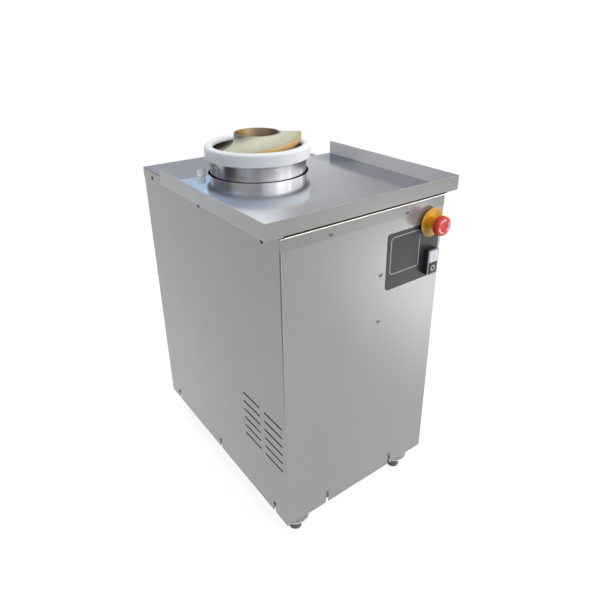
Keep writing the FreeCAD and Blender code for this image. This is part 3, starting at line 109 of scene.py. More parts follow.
def object_noise(mat, stretch, detail):
    """Noise on Object coordinates, stretched by three factors or by one for all, in cells per metre."""
    stretch = (np.ones(3) * stretch).tolist()
    place = node(mat, "Mapping", Vector=coordinates(mat), Scale=stretch)
    return node(mat, "TexNoise", Vector=place, Scale=1, Detail=detail, Roughness=0.6)


def colour_ramp(mat, factor, stops):
    """Colours between stops, each a position and a colour with alpha."""
    ramp = node(mat, "ValToRGB", factor)
    elements = ramp.color_ramp.elements
    elements[0].position, elements[0].color = stops[0]
    elements[1].position, elements[1].color = stops[-1]
    for place, colour in stops[1:-1]:
        elements.new(place).color = colour
    return ramp


# %% Finishes: plain values, then tint, gloss and grain
def vary_colour(mat, stretch, low, high):
    """Base Color runs between two colours with the noise."""
    stops = ((0.32, (*low, 1)), (0.68, (*high, 1)))
    tint = colour_ramp(mat, object_noise(mat, stretch, 4), stops)
    feed(mat, shader_of(mat).inputs["Base Color"], tint)


def vary_gloss(mat, stretch, low, high):
    """Roughness runs between two values with the noise."""
    gloss = node(mat, "MapRange", object_noise(mat, stretch, 5), 0.3, 0.7, low, high)
    feed(mat, shader_of(mat).inputs["Roughness"], gloss)


def add_grain(mat, stretch, height, edge=0):
    """A bump of a height in metres from stretched noise. edge rounds hard edges in the normal, in metres."""
    grain = object_noise(mat, stretch, 3)
    bump = node(mat, "Bump", Strength=1, Distance=height, Height=grain)
    if edge:
        feed(mat, bump.inputs["Normal"], node(mat, "Bevel", samples=4, Radius=edge))
    feed(mat, shader_of(mat).inputs["Normal"], bump)


def finish(name, colour, roughness, metallic=0, tint=(), gloss=(), grain=(), **sockets):
    """A material named for the finish, with constants set straight on the shader's sockets. tint, gloss and
    grain hold what the three functions above take."""
    mat = bpy.data.materials.new(name)
    mat.use_nodes = True
    constants = {"Base Color": (*colour, 1), "Roughness": roughness, "Metallic": metallic, **sockets}
    for socket, value in constants.items():
        shader_of(mat).inputs[socket.replace("_", " ")].default_value = value
    for vary, values in ((vary_colour, tint), (vary_gloss, gloss), (add_grain, grain)):
        if values:
            vary(mat, *values)
    return mat


print("finish helpers ready")


# %% Masks, and patches of another look
def overlap(mat, product, *others):
    """The product of masks."""
    for mask in others:
        product = node(mat, "Math", product, mask, operation="MULTIPLY")
    return product


def inside(mat, source="Object", **spans):
    """1 where every named component of a Texture Coordinate output lies between its two values, else 0."""
    split = node(mat, "SeparateXYZ", coordinates(mat, source)).outputs
    return overlap(mat, *(
        node(mat, "Math", split[axis], (low + high) / 2, (high - low) / 2, operation="COMPARE")
        for axis, (low, high) in spans.items()
    ))


def facing(mat, **spans):
    """1 where the normal's components lie between their two values."""
    return inside(mat, "Normal", **spans)


def smooth_fall(mat, distance, inner, outer, near=1):
    """near up to the inner distance, falling smoothly to 0 at the outer one."""
    return node(mat, "MapRange", distance, inner, outer, near, 0, interpolation_type="SMOOTHSTEP")


def close_to(mat, centre, inner, outer):
    """1 near a point in Object coordinates, falling smoothly to 0 between two distances from it."""
    distance = node(mat, "VectorMath", coordinates(mat), centre, operation="DISTANCE")
    return smooth_fall(mat, distance, inner, outer)


def patch(mat, mask, colour=None, roughness=None, metallic=None, blend="MIX"):
    """Changes the shader's values where the mask is 1."""
    changes = (("Base Color", colour), ("Roughness", roughness), ("Metallic", metallic))
    for name, value in changes:
        if value is None:
            continue
        mix = node(mat, "Mix", data_type="RGBA" if value is colour else "FLOAT", blend_type=blend)
        value = (*value, 1) if value is colour else value
        old = shader_of(mat).inputs[name]
        below = old.links[0].from_socket if old.is_linked else old.default_value
        used = [socket for socket in mix.inputs if socket.enabled]
        for socket, source in zip(used, (mask, below, value)):
            feed(mat, socket, source)
        feed(mat, old, mix)


def paint_light_and_shade(mat, mask, shade):
    """Paints light and shade: multiplies the colour by the shade where the mask is 1, and so keeps the
    pattern below it.
    """
    patch(mat, mask, shade, blend="MULTIPLY")


print("mask helpers ready")

# %% [markdown]
# The cabinet is satin stainless sheet. Its grain runs up the panels, so the noise is squeezed across and
# drawn out along Z. A broad noise in the roughness gives the faint clouds that wiping leaves. A mirror of
# metal renders at its own colour in a white room, so the steel is written at the grey that it shows.

# %% Steel finishes
panel_steel = finish(
    "panel_steel", (0.318, 0.318, 0.32), 0.24, 1,
    tint=((3, 3, 1.2), (0.308, 0.309, 0.312), (0.326, 0.326, 0.328)),
    gloss=((5, 5, 3), 0.21, 0.27), grain=((1400, 1400, 20), 2e-6, 0.0008),
)
tray_steel = finish(
    "tray_steel", (0.57, 0.57, 0.575), 0.14, 1,
    tint=(3, (0.545, 0.546, 0.552), (0.575, 0.575, 0.58)),
    gloss=((7, 5, 4), 0.1, 0.17), grain=((20, 1400, 1400), 1.6e-6, 0.0008),
)
print("sheet finishes made")

# %% [markdown]
# One sheet is not one grey. The tray's floor is rubbed glossy and written a brighter grey, which is partly
# painted light for what the upward face catches, while its upright lips keep the panels' grey and satin and
# the inner face of its fence is brushed rough. Where two sheets meet, a near-black strip of painted shadow
# marks the gap, and beside it a painted highlight stands for the light the bent edge catches. Soft spots on
# the tray paint its reflections darker, cooler and warmer in places. Boxes and balls in Object coordinates
# say where these places are, and the span of a normal's component says which way a face looks.

# %% Places on the tray
tray_low, tray_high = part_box("loading_tray")
AIR = 0.02
AGAINST, ALONG = (-1.1, -0.5), (0.5, 1.1)
# Upright faces take the panels' grey and satin gloss; the brighter grey left on the floor is partly painted
# light.
patch(tray_steel, facing(tray_steel, Z=(-0.5, 0.5)), (0.325, 0.323, 0.322), 0.22)
fence_face = overlap(
    tray_steel, facing(tray_steel, X=AGAINST), inside(tray_steel, X=(tray_high.x - 0.01, tray_high.x + AIR))
)
patch(tray_steel, fence_face, (0.88, 0.86, 0.83), 0.46, 0.35)
tab = inside(
    tray_steel, X=(drum_x - 0.15, drum_x - 0.118), Z=(cover_top + 0.0025, cover_top + AIR),
    Y=(tray_high.y - 0.01, tray_high.y + 0.01),
)
patch(tray_steel, tab, (0.66, 0.7, 0.8), 0.45)
# Painted shadow: a near-black strip along the foot of the tray's front lip stands for the shade in the gap
# over the cover.
lip_shadow = inside(
    tray_steel, X=(mid_x - 0.191, mid_x + 0.204), Y=(tray_low.y - AIR, tray_low.y + 0.004),
    Z=(cover_top - AIR, cover_top + 0.0032),
)
patch(tray_steel, lip_shadow, (0.012, 0.012, 0.011), 0.7)
# Painted reflections: soft spots multiply the tray's colour. It is darker and bluer at the fence's far corner
# and darker beside the fence, dimmer where the drum's highlight is mirrored in front of it, cooler and
# brighter to the drum's left and front, and warmer and darker at one spot to its left.
for x, y, inner, outer, shade, floor_only in (
    (tray_high.x, tray_high.y - 0.05, 0.03, 0.09, (0.3, 0.38, 0.5), True),
    (drum_x - 0.1, drum_y - 0.15, 0.05, 0.19, (0.98, 1.06, 1.2), False),
    (drum_x - 0.04, drum_y - 0.155, 0.03, 0.09, (0.7, 0.69, 0.67), False),
    (drum_x - 0.13, drum_y - 0.075, 0.02, 0.05, (0.86, 0.78, 0.66), False),
    (drum_x - 0.17, drum_y - 0.125, 0.02, 0.065, (1.22, 1.34, 1.42), False),
    (tray_high.x, drum_y - 0.2, 0.05, 0.27, (0.76, 0.79, 0.85), True),
):
    spot = close_to(tray_steel, (x, y, cover_top), inner, outer)
    if floor_only:
        spot = overlap(tray_steel, facing(tray_steel, Z=ALONG), spot)
    paint_light_and_shade(tray_steel, spot, shade)
print("tray", tuple(tray_low), tuple(tray_high))

# %% Places on the cover and the panels
front_low, front_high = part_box("front_panel")
side_low, side_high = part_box("left_panel")
right_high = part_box("right_panel")[1]
# Painted shade: faces that look left, such as the left panel's outer face, are made a little darker.
paint_light_and_shade(panel_steel, facing(panel_steel, X=AGAINST), (0.87, 0.865, 0.855))

cover_steel = panel_steel.copy()
cover_steel.name = "cover_steel"
# Painted highlight: a pale strip along the top of the cover's front bend stands for the light the bent edge
# catches.
painted_bend_highlight = inside(
    cover_steel, X=(mid_x - 0.188, mid_x + 0.205), Y=(cover_low.y - AIR, cover_low.y + 0.0025),
    Z=(cover_top - 0.0015, cover_top + AIR),
)
# Painted shade on the cover's forward faces, and a warmer painted tint of the reflections on its upward
# faces.
paint_light_and_shade(cover_steel, facing(cover_steel, Y=AGAINST), (0.9, 0.9, 0.895))
patch(cover_steel, painted_bend_highlight, (0.9, 0.89, 0.85), 0.3)
paint_light_and_shade(cover_steel, facing(cover_steel, Z=ALONG), (1.02, 0.97, 0.9))

front_steel = panel_steel.copy()
front_steel.name = "front_steel"
# Painted seam: down the front panel's left edge, strongest near its top, a dark strip stands for the shadow
# in the gap to the side panel and a light strip beside it for a highlight.
near_top = close_to(front_steel, (front_low.x, front_low.y, front_high.z), 0.1, 0.45)
for start, end, shade in ((-AIR, 0.0019, 0.42), (0.0019, 0.0036, 1.15)):
    painted_seam_line = inside(front_steel, X=(front_low.x + start, front_low.x + end))
    paint_light_and_shade(front_steel, overlap(front_steel, painted_seam_line, near_top), (shade, shade, shade))
stop_low, stop_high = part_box("estop_collar")
# Painted reflection: on the front panel and cover, a paler, half-metallic patch to the stop's left stands for
# its soft reflection.
for sheet in (front_steel, cover_steel):
    painted_stop_reflection = close_to(sheet, (stop_low.x, front_low.y, stop_high.z - 0.025), 0.02, 0.055)
    patch(sheet, painted_stop_reflection, (0.44, 0.43, 0.42), metallic=0.5)

# Painted shade: faces that look up or down at mid height, the reveals of the vents, are near black.
for turned_to in (AGAINST, ALONG):
    level = inside(panel_steel, Z=(front_low.z + 0.05, front_high.z - 0.1))
    vent_reveal_shade = overlap(panel_steel, facing(panel_steel, Z=turned_to), level)
    patch(panel_steel, vent_reveal_shade, (0.01, 0.01, 0.01), 0.8)
SKIN = 0.0011
# Painted shade: the panels' inner faces are near black, for the dark inside of the cabinet.
inner_face_shade = inside(
    panel_steel, X=(side_low.x + SKIN, right_high.x - SKIN), Y=(side_low.y + 0.003, side_high.y - 0.002),
    Z=(0, side_high.z - 0.002),
)
patch(panel_steel, inner_face_shade, (0.05, 0.05, 0.05), 0.6)
print("front", tuple(front_low), tuple(front_high))

# %% Steel of the parts below and inside
frame_steel = finish(
    "frame_steel", (0.34, 0.34, 0.35), 0.42, 1,
    tint=(20, (0.31, 0.31, 0.32), (0.37, 0.37, 0.38)), grain=((900, 60, 60), 6e-6),
)
drum_steel = finish(
    "drum_steel", (0.42, 0.415, 0.42), 0.2, 1, tint=((6, 6, 60), (0.4, 0.395, 0.4), (0.45, 0.445, 0.45)),
    gloss=((4, 4, 90), 0.15, 0.24), grain=((2, 2, 2600), 3e-6),
)
screw_steel = finish("screw_steel", (0.19, 0.19, 0.2), 0.18, 1, gloss=(300, 0.12, 0.24))
# Painted shade: screw faces that look left are darker, so the side screws show as dark dots.
paint_light_and_shade(screw_steel, facing(screw_steel, X=(-1.1, -0.6)), (0.3, 0.3, 0.3))
bright_steel = finish("bright_steel", (0.62, 0.63, 0.65), 0.16, 1, gloss=(300, 0.12, 0.24))
flange_steel = finish(
    "flange_steel", (0.82, 0.82, 0.8), 0.4, 0.3,
    tint=(60, (0.76, 0.76, 0.74), (0.86, 0.86, 0.85)), grain=(700, 8e-6, 0.0006),
)
spindle_steel = finish("spindle_steel", (0.46, 0.46, 0.47), 0.28, 1, grain=((3, 3, 2000), 4e-6))
bearing_steel = finish("bearing_steel", (0.6, 0.6, 0.61), 0.15, 1, gloss=(90, 0.12, 0.2))
pulley_iron = finish(
    "pulley_iron", (0.22, 0.22, 0.23), 0.48, 1,
    tint=(80, (0.19, 0.19, 0.2), (0.26, 0.26, 0.27)), grain=(500, 2e-5),
)
print("steel finishes made")

# %% [markdown]
# The ring is white food plastic, dense and softly glossy, so a little light gets under its surface.
# The stop's collar is clear orange-yellow plastic, and its head a plain red one. The rubber of the feet is
# an old brown, lighter where dust clings.

# %% Plastic and rubber finishes
ring_plastic = finish(
    "ring_plastic", (0.87, 0.87, 0.86), 0.36, gloss=((30, 30, 120), 0.32, 0.42),
    grain=((6, 6, 900), 6e-6), Subsurface_Weight=0.12, Subsurface_Scale=0.004,
    Subsurface_Radius=(1, 0.9, 0.8),
)
red_plastic = finish(
    "red_plastic", (0.7, 0.04, 0.032), 0.33, gloss=(60, 0.3, 0.38), grain=(1500, 6e-6), IOR=1.42
)
yellow_plastic = finish(
    "yellow_plastic", (0.7, 0.37, 0.028), 0.3, tint=(40, (0.67, 0.33, 0.014), (0.76, 0.41, 0.024)),
    grain=(1500, 5e-6), Subsurface_Weight=0.1, Subsurface_Scale=0.003, IOR=1.42,
)
stop_x, _, stop_z = middle("estop_head")
# Painted shade and light on the collar: darker to the lower left of the stop's axis, brighter to the upper
# right.
for off_x, off_z, reach, shade in (
    (-0.012, -0.022, 0.028, (0.6, 0.62, 0.45)),
    (0.008, 0.022, 0.024, (1.25, 1.25, 1.3)),
):
    spot = close_to(yellow_plastic, (stop_x + off_x, front_low.y, stop_z + off_z), 0.006, reach)
    paint_light_and_shade(yellow_plastic, spot, shade)
arrow_white = finish("arrow_white", (0.78, 0.74, 0.72), 0.45, grain=(2500, 6e-6), IOR=1.45)
black_plastic = finish(
    "black_plastic", (0.012, 0.013, 0.016), 0.42, gloss=(90, 0.36, 0.5), grain=(2200, 1e-5, 0.0008)
)
grey_plastic = finish("grey_plastic", (0.36, 0.37, 0.38), 0.35, grain=(2200, 8e-6, 0.0006))
light_plastic = finish("light_plastic", (0.74, 0.75, 0.76), 0.28, gloss=(100, 0.29, 0.37))
label_film = finish(
    "label_film", (0.036, 0.036, 0.036), 0.34, tint=(25, (0.031, 0.03, 0.031), (0.043, 0.042, 0.044)),
    grain=(1800, 8e-6, 0.0004), IOR=1.42,
)
label_line = finish("label_line", (0.46, 0.45, 0.42), 0.4, grain=(2500, 5e-6))
rubber = finish(
    "rubber", (0.16, 0.148, 0.105), 0.7, tint=(90, (0.13, 0.115, 0.085), (0.19, 0.18, 0.13)),
    grain=(1200, 3e-5),
)
belt_rubber = finish("belt_rubber", (0.03, 0.03, 0.032), 0.6, grain=(900, 2e-5))
motor_paint = finish("motor_paint", (0.2, 0.23, 0.27), 0.4, grain=(700, 2e-5))
cowl_paint = finish("cowl_paint", (0.1, 0.11, 0.13), 0.42, grain=(900, 1.5e-5))
gear_plastic = finish("gear_plastic", (0.12, 0.125, 0.13), 0.5, grain=(1500, 1e-5))
print("plastic finishes made")

# %% [markdown]
# The auger is cast bronze. The flight has a pale worn coat, cream on its face and bare orange metal along
# the rim where dough rubs it. The tube is bare: brown outside, darker and browner in the bore. The
# distance from the drum's axis says which of these a place on the surface is, so a ramp along it does.
# Near the rim, the walls of the bore that face right and towards the front get a painted lit orange.


# %% Bronze, coated and bare
def bronze_finish(name, stops, roughness, wear=0.0016):
    """Mixes the stops by the distance from the drum's axis, in metres, which a noise shifts by half the wear
    to each side. The fourth value of a stop is metallic."""
    gloss = ((25, 25, 60), roughness - 0.06, roughness + 0.06)
    mat = finish(name, stops[0][1][:3], roughness, gloss=gloss, grain=(260, 1.2e-5))
    centred = node(mat, "Mapping", Vector=coordinates(mat), Location=(-drum_x, -drum_y, 0))
    flat = node(mat, "VectorMath", centred, (1, 1, 0), operation="MULTIPLY")
    radius = node(mat, "VectorMath", flat, operation="LENGTH")
    noise = object_noise(mat, 160, 4)
    worn = node(mat, "Math", noise, wear, radius, operation="MULTIPLY_ADD")
    ramp = colour_ramp(mat, worn, [(place + wear / 2, colour) for place, colour in stops])
    feed(mat, shader_of(mat).inputs["Base Color"], ramp.outputs["Color"])
    feed(mat, shader_of(mat).inputs["Metallic"], ramp.outputs["Alpha"])
    return mat


flight_cream = bronze_finish("flight_cream", (
    (0.052, (0.4, 0.36, 0.28, 0.35)),
    (0.056, (0.66, 0.645, 0.49, 0.35)),
    (0.09, (0.55, 0.53, 0.39, 0.35)),
    (0.0965, (0.5, 0.43, 0.26, 0.35)),
    (0.0985, (0.54, 0.3, 0.085, 0.4)),
), 0.42)
worn_bronze = bronze_finish("worn_bronze", (
    (0.0485, (0.055, 0.04, 0.022, 0.55)),
    (0.0495, (0.4, 0.31, 0.2, 0.9)),
    (0.0512, (0.42, 0.36, 0.27, 0.9)),
    (0.0524, (0.118, 0.11, 0.103, 0.9)),
), 0.36)
# Painted light: near the rim, walls of the bore that face right and towards the front take a lit orange over
# the dark bore.
near_rim = close_to(worn_bronze, (drum_x - 0.04, drum_y + 0.028, cover_top + 0.085), 0.015, 0.075)
lit_bore_right = facing(worn_bronze, X=(0.05, 1.1), Y=(-0.3, 1.1))
lit_bore_front = overlap(
    worn_bronze, facing(worn_bronze, Y=(-1.1, -0.3)), inside(worn_bronze, Y=(drum_y + 0.01, 1))
)
for lit_wall in (lit_bore_right, lit_bore_front):
    patch(worn_bronze, overlap(worn_bronze, lit_wall, near_rim), (0.28, 0.165, 0.055))
print("bronze made")

# %% [markdown]
# Flat sheets, angles and the hidden drive are right as the CAD made them, so their nodes stay and only
# take a finish. One table says which node gets which.


# %% Give every CAD node its finish
def named(start):
    return [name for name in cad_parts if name.startswith(start)]


PLAIN_NODES = {
    panel_steel: ("left_panel", "right_panel", "back_panel"),
    cover_steel: ("top_cover",),
    front_steel: ("front_panel",),
    tray_steel: ("loading_tray",),
    frame_steel: (
        "base_pan", "drive_plate", "control_bracket", "drum_hub", *named("plate_rail"), *named("corner_post")
    ),
    screw_steel: ("plate_screws", "drum_screws", "foot_stems", "panel_screws"),
    bright_steel: ("tray_screws",),
    spindle_steel: ("spindle", "spindle_nut", "motor_shaft", "estop_stem"),
    bearing_steel: ("lower_bearing", "upper_bearing"),
    pulley_iron: ("drum_pulley", "motor_pulley"),
    belt_rubber: ("drive_belt", "drum_seal"),
    motor_paint: ("motor_body",),
    cowl_paint: ("fan_cover",),
    gear_plastic: (
        "motor_box", "motor_fan", "contactor", "terminal_block", "switch_contacts", "estop_contact_block",
        "estop_ring_nut",
    ),
    label_film: ("control_plate",),
    black_plastic: ("switch_housing", "cable_gland", "gland_nut", "stop_button"),
    grey_plastic: ("switch_bezel",),
    light_plastic: ("start_button",),
    drum_steel: ("drum",),
    ring_plastic: ("drum_ring",),
    worn_bronze: ("auger_tube",),
    flight_cream: ("auger_flight_lower", "auger_flight_upper"),
    yellow_plastic: ("estop_collar",),
    red_plastic: ("estop_head",),
    rubber: named("rubber_foot"),
    flange_steel: ("foot_flanges",),
}
for mat, names in PLAIN_NODES.items():
    for name in names:
        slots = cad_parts[name].data.materials
        slots.clear()
        slots.append(mat)
print("nodes with a finish:", sum(len(names) for names in PLAIN_NODES.values()), "of", len(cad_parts))

# %% [markdown]
# Every new piece is a grid of points: rows go round a profile, columns go along a path. The faces join
# neighbours in the grid, and the volume that they enclose tells whether they point outwards.


# %% Grids of points become closed pieces
def grid_faces(rows, columns, close_rows=True, close_columns=True):
    """Quads between neighbours of a rows x columns grid, with the last joined to the first where closed."""
    r = np.arange(rows if close_rows else rows - 1)[:, None]
    c = np.arange(columns if close_columns else columns - 1)[None, :]
    r_next, c_next = (r + 1) % rows, (c + 1) % columns
    corners = (r * columns + c, r * columns + c_next, r_next * columns + c_next, r_next * columns + c)
    return np.stack([np.broadcast_to(k, (r.size, c.size)).ravel() for k in corners], axis=1)


def swept_faces(rows, columns):
    """Faces of a closed section carried along the columns, with one face at each end."""
    end = (np.arange(rows) * columns)[None, :]
    return [grid_faces(rows, columns, close_columns=False), end, end[:, ::-1] + columns - 1]


def enclosed_volume(points, face_sets):
    """A sixth of the sum of a . (b x c) over the triangles a, b, c of the faces, about their middle."""
    points = points.reshape(-1, 3) - points.reshape(-1, 3).mean(0)
    total = 0
    for faces in face_sets:
        for k in range(1, faces.shape[1] - 1):
            a, b, c = points[faces[:, 0]], points[faces[:, k]], points[faces[:, k + 1]]
            total += np.einsum("ij,ij->i", a, np.cross(b, c)).sum() / 6
    return total


def outward(points, face_sets):
    """The face sets of one closed part, turned over if they enclose a negative volume."""
    return face_sets if enclosed_volume(points, face_sets) > 0 else [faces[:, ::-1] for faces in face_sets]


def placed(name, data):
    """An object of the data, in the scene."""
    made = bpy.data.objects.new(name, data)
    bpy.context.scene.collection.objects.link(made)
    return made


def piece(name, points, face_sets, mat, body, slot_name, sharp=40):
    """One object from points in millimetres in the row frame and one or more arrays of faces. Points in one
    place become one point, so a ring of radius 0 closes to a pole."""
    points, place = np.unique(
        np.round(np.asarray(points, float).reshape(-1, 3), 6), axis=0, return_inverse=True
    )
    points = points * MM
    face_sets = outward(points, [place.ravel()[faces] for faces in face_sets])
    faces = [list(dict.fromkeys(face)) for group in face_sets for face in group.tolist()]
    mesh = bpy.data.meshes.new(name)
    mesh.from_pydata(points.tolist(), [], [face for face in faces if len(face) > 2])
    mesh.validate()
    mesh.shade_smooth()
    mesh.set_sharp_from_angle(angle=math.radians(sharp))
    mesh.materials.append(mat)
    made = placed(name, mesh)
    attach(made, body)
    volume = enclosed_volume(points, face_sets)
    print(name, len(points), "points", len(faces), "faces, volume", round(volume * 1e6, 2), "cm3")
    return made


# %% Profiles and bodies of revolution
def rounded(corners, radii, steps=7):
    """A closed outline with each corner replaced by the curve (1-t)^2 a + 2t(1-t) corner + t^2 b, where a and
    b lie on the two sides at the corner's radius from it."""
    corners, radii = np.asarray(corners, float), np.asarray(radii, float)[:, None]
    back = np.roll(corners, 1, axis=0) - corners
    ahead = np.roll(corners, -1, axis=0) - corners
    a = corners + radii * back / np.linalg.norm(back, axis=1, keepdims=True)
    b = corners + radii * ahead / np.linalg.norm(ahead, axis=1, keepdims=True)
    t = np.linspace(0, 1, steps)[None, :, None]
    curve = (1 - t) ** 2 * a[:, None] + 2 * t * (1 - t) * corners[:, None] + t ** 2 * b[:, None]
    return curve.reshape(-1, 2)


def circle(turns):
    """The cosine and sine of angles round a full turn."""
    angle = np.linspace(0, 2 * np.pi, turns, endpoint=False)[None, :]
    return np.cos(angle), np.sin(angle)


def turned(profile, centre, turns=240, to_front=False):
    """The closed profile (r, h) at angle a is the point centre + (r cos a, r sin a, h), and where the axis
    points out of the front it is centre + (r cos a, -h, r sin a)."""
    (cos, sin), r = circle(turns), profile[:, 0:1]
    along = np.broadcast_to(profile[:, 1:2], (len(profile), turns))
    points = (r * cos, -along, r * sin) if to_front else (r * cos, r * sin, along)
    return np.stack(points, axis=-1) + centre, [grid_faces(len(profile), turns)]


print("grid helpers ready")

# %% [markdown]
# The drum is a turned steel pot and the ring a turned plastic collar on its rim. Both are bodies of
# revolution, so a rounded profile carried round the axis says all of their shape.

# %% Drum and ring
axis_mm = (drum_x / MM, drum_y / MM)
SHELL_R, SHELL_BORE, HUB_BORE, FLOOR, SHELL_TOP = 110.5, 101.5, 19, 12, 170
drum_profile = rounded(
    [(HUB_BORE, -FLOOR), (SHELL_R - 7, -FLOOR), (SHELL_R, -5), (SHELL_R, SHELL_TOP), (SHELL_BORE, SHELL_TOP),
     (SHELL_BORE, 0), (HUB_BORE, 0)],
    [0.2, 2, 2, 0.6, 0.6, 3, 0.2],
)
shell = turned(drum_profile, (*axis_mm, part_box("drum")[0].z / MM + FLOOR))
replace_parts(piece("drum_shell", *shell, drum_steel, "drum", "drum_steel"), "drum")

RING_R, RING_BORE, RING_TOP, RING_SEAT = 120, 101, 28.5, 19.5
ring_profile = rounded(
    [(SHELL_R, 0), (RING_R, 0), (RING_R, RING_TOP), (RING_BORE, RING_TOP), (RING_BORE, RING_SEAT),
     (SHELL_R, RING_SEAT)],
    [0.3, 1.2, 7.5, 7.5, 0.8, 0.3],
    steps=12,
)
ring = turned(ring_profile, (*axis_mm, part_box("drum_ring")[0].z / MM))
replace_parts(piece("white_ring", *ring, ring_plastic, "drum", "ring_white"), "drum_ring")

# %% [markdown]
# The auger stands still while the drum carries the dough round it. Its flight is a section swept up a
# helix: level below, blunt at the rim and dished above. Over the last turn the root meets the tube's rim
# and stays level while the outer edge still climbs, so the top closes as a twisted flat blade.

# %% Auger sizes, as in the CAD
auger_low, auger_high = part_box("auger_tube")
AUGER_Z = auger_low.z / MM
HEIGHT, RADIUS, WALL, RIM_R = 200.5, 52.5, 4, 99.5
PITCH, EDGE, DISH, SWELL, SEAT = 87, 12, 22, 6, 0.2
RISE = HEIGHT - EDGE - SEAT
START_ANGLE = math.radians(-30) - 2 * math.pi * RISE / PITCH
WINDOW_START, WINDOW_END, WINDOW_LOW, WINDOW_HIGH = math.radians(8), math.radians(88), 38, 84
print("auger turns", round(RISE / PITCH, 3), "height", round((auger_high.z - auger_low.z) / MM, 2))


def about_auger(r, cos, sin, z):
    """Points at a radius and a height from the foot of the auger's axis."""
    z = np.broadcast_to(AUGER_Z + z, np.broadcast(r, cos, z).shape)
    return np.stack([axis_mm[0] + r * cos, axis_mm[1] + r * sin, z], axis=-1)


# %% Helical flight
def flight_points(steps=420, across=19):
    """At turn p the section stands at angle START_ANGLE + p and height PITCH p / 2 pi. Its top runs from the
    rim to the root in a line less the sag 4 SWELL t (1 - t), which fades where the root meets the tube's rim,
    plus a fillet (1 - d / 6)^2 within 6 mm of the tube. The rim has a bend below and a rubbed one above."""
    turn = np.linspace(0, 2 * math.pi * RISE / PITCH, steps)[None, :]
    base = PITCH * turn / (2 * np.pi)
    root_r = RADIUS + SEAT / 2
    t = np.linspace(0, 1, across)[:, None] ** 0.9
    top_r = RIM_R + t * (root_r - RIM_R)
    rim_z, root_z = base + EDGE, np.minimum(base + EDGE + DISH, HEIGHT - SEAT)
    fade = np.clip(1 - (base + EDGE + DISH - HEIGHT) / 3, 0.12, 1)
    fillet = 5 * np.clip(1 - (top_r - root_r) / 6, 0, 1) ** 2
    top_z = rim_z + t * (root_z - rim_z) - 4 * SWELL * t * (1 - t) * fade + fillet
    top_z = np.minimum(top_z, HEIGHT - SEAT)
    quarter = np.array([0, 0.5, 1])[:, None] * np.pi / 2
    bend, rubbed = 1.2, 2
    low_r, low_z = RIM_R - bend + bend * np.sin(quarter), base + bend - bend * np.cos(quarter)
    worn_r, worn_z = RIM_R - rubbed + rubbed * np.cos(quarter), base + EDGE - 2.4 + rubbed * np.sin(quarter)
    z = np.vstack([base, low_z, worn_z, top_z[2:]])
    r = np.broadcast_to(np.vstack([[[root_r]], low_r, worn_r, top_r[2:]]), z.shape)
    in_window = (turn > WINDOW_START) & (turn < WINDOW_END) & (r < RADIUS + 12)
    z = np.where(in_window, np.minimum(z, WINDOW_LOW), z)
    late = np.clip((turn - turn.max() + 0.9) / 0.9, 0, 1) ** 2
    angle = START_ANGLE + turn + late * math.radians(9) * (RIM_R - r) / (RIM_R - root_r)
    return about_auger(r, np.cos(angle), np.sin(angle), z)


flight = flight_points()
flight_sets = swept_faces(*flight.shape[:2])
cream_flight = piece("cream_flight", flight, flight_sets, flight_cream, "auger", "auger_metal", sharp=38)
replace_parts(cream_flight, "auger_flight_lower", "auger_flight_upper")

# %% [markdown]
# The tube has a window low down where the dough leaves the bore, and a ramp inside leads it out. A turned
# grid with lines at the window's edges lets the window be left open, with four strips closing its reveal.


# %% Tube with its window
def tube_points(open_steps, other_steps=111):
    """A closed profile of the wall with lines at the window's two levels, turned with lines at its sides."""
    bore, levels = RADIUS - WALL, (0, WINDOW_LOW, WINDOW_HIGH, HEIGHT - 1.2)
    rim = [(RADIUS - 0.35, -0.35), (RADIUS - 1.2, 0), (bore + 1.2, 0), (bore + 0.35, -0.35)]
    outer, inner = [(RADIUS, z) for z in levels], [(bore, z) for z in levels[::-1]]
    profile = np.array(outer + [(r, HEIGHT + z) for r, z in rim] + inner)
    open_part = np.linspace(WINDOW_START, WINDOW_END, open_steps + 1)
    rest = np.linspace(WINDOW_END, WINDOW_START + 2 * np.pi, other_steps + 2)[1:-1]
    angle = START_ANGLE + np.concatenate([open_part, rest])[None, :]
    return about_auger(profile[:, 0:1], np.cos(angle), np.sin(angle), profile[:, 1:2])


OPEN_STEPS = 32
OUT_LOW, OUT_HIGH, IN_HIGH, IN_LOW = 1, 2, 9, 10
tube = tube_points(OPEN_STEPS)
tube_rows, tube_columns = tube.shape[:2]
wall_faces = grid_faces(tube_rows, tube_columns).reshape(tube_rows, tube_columns, 4)
keep = np.ones((tube_rows, tube_columns), bool)
keep[[OUT_LOW, IN_HIGH], :OPEN_STEPS] = False
lines = np.arange(tube_rows)[:, None] * tube_columns + np.arange(OPEN_STEPS + 1)[None, :]
sill = np.stack([lines[OUT_LOW, :-1], lines[OUT_LOW, 1:], lines[IN_LOW, 1:], lines[IN_LOW, :-1]], axis=1)
head = np.stack([lines[OUT_HIGH, 1:], lines[OUT_HIGH, :-1], lines[IN_HIGH, :-1], lines[IN_HIGH, 1:]], axis=1)
jambs = np.array([
    lines[[OUT_LOW, IN_LOW, IN_HIGH, OUT_HIGH], 0], lines[[OUT_LOW, OUT_HIGH, IN_HIGH, IN_LOW], -1]
])
tube_sets = [wall_faces[keep], sill, head, jambs]
print("tube faces", len(tube_sets[0]), "and the window's reveal", len(sill) + len(head) + 2)


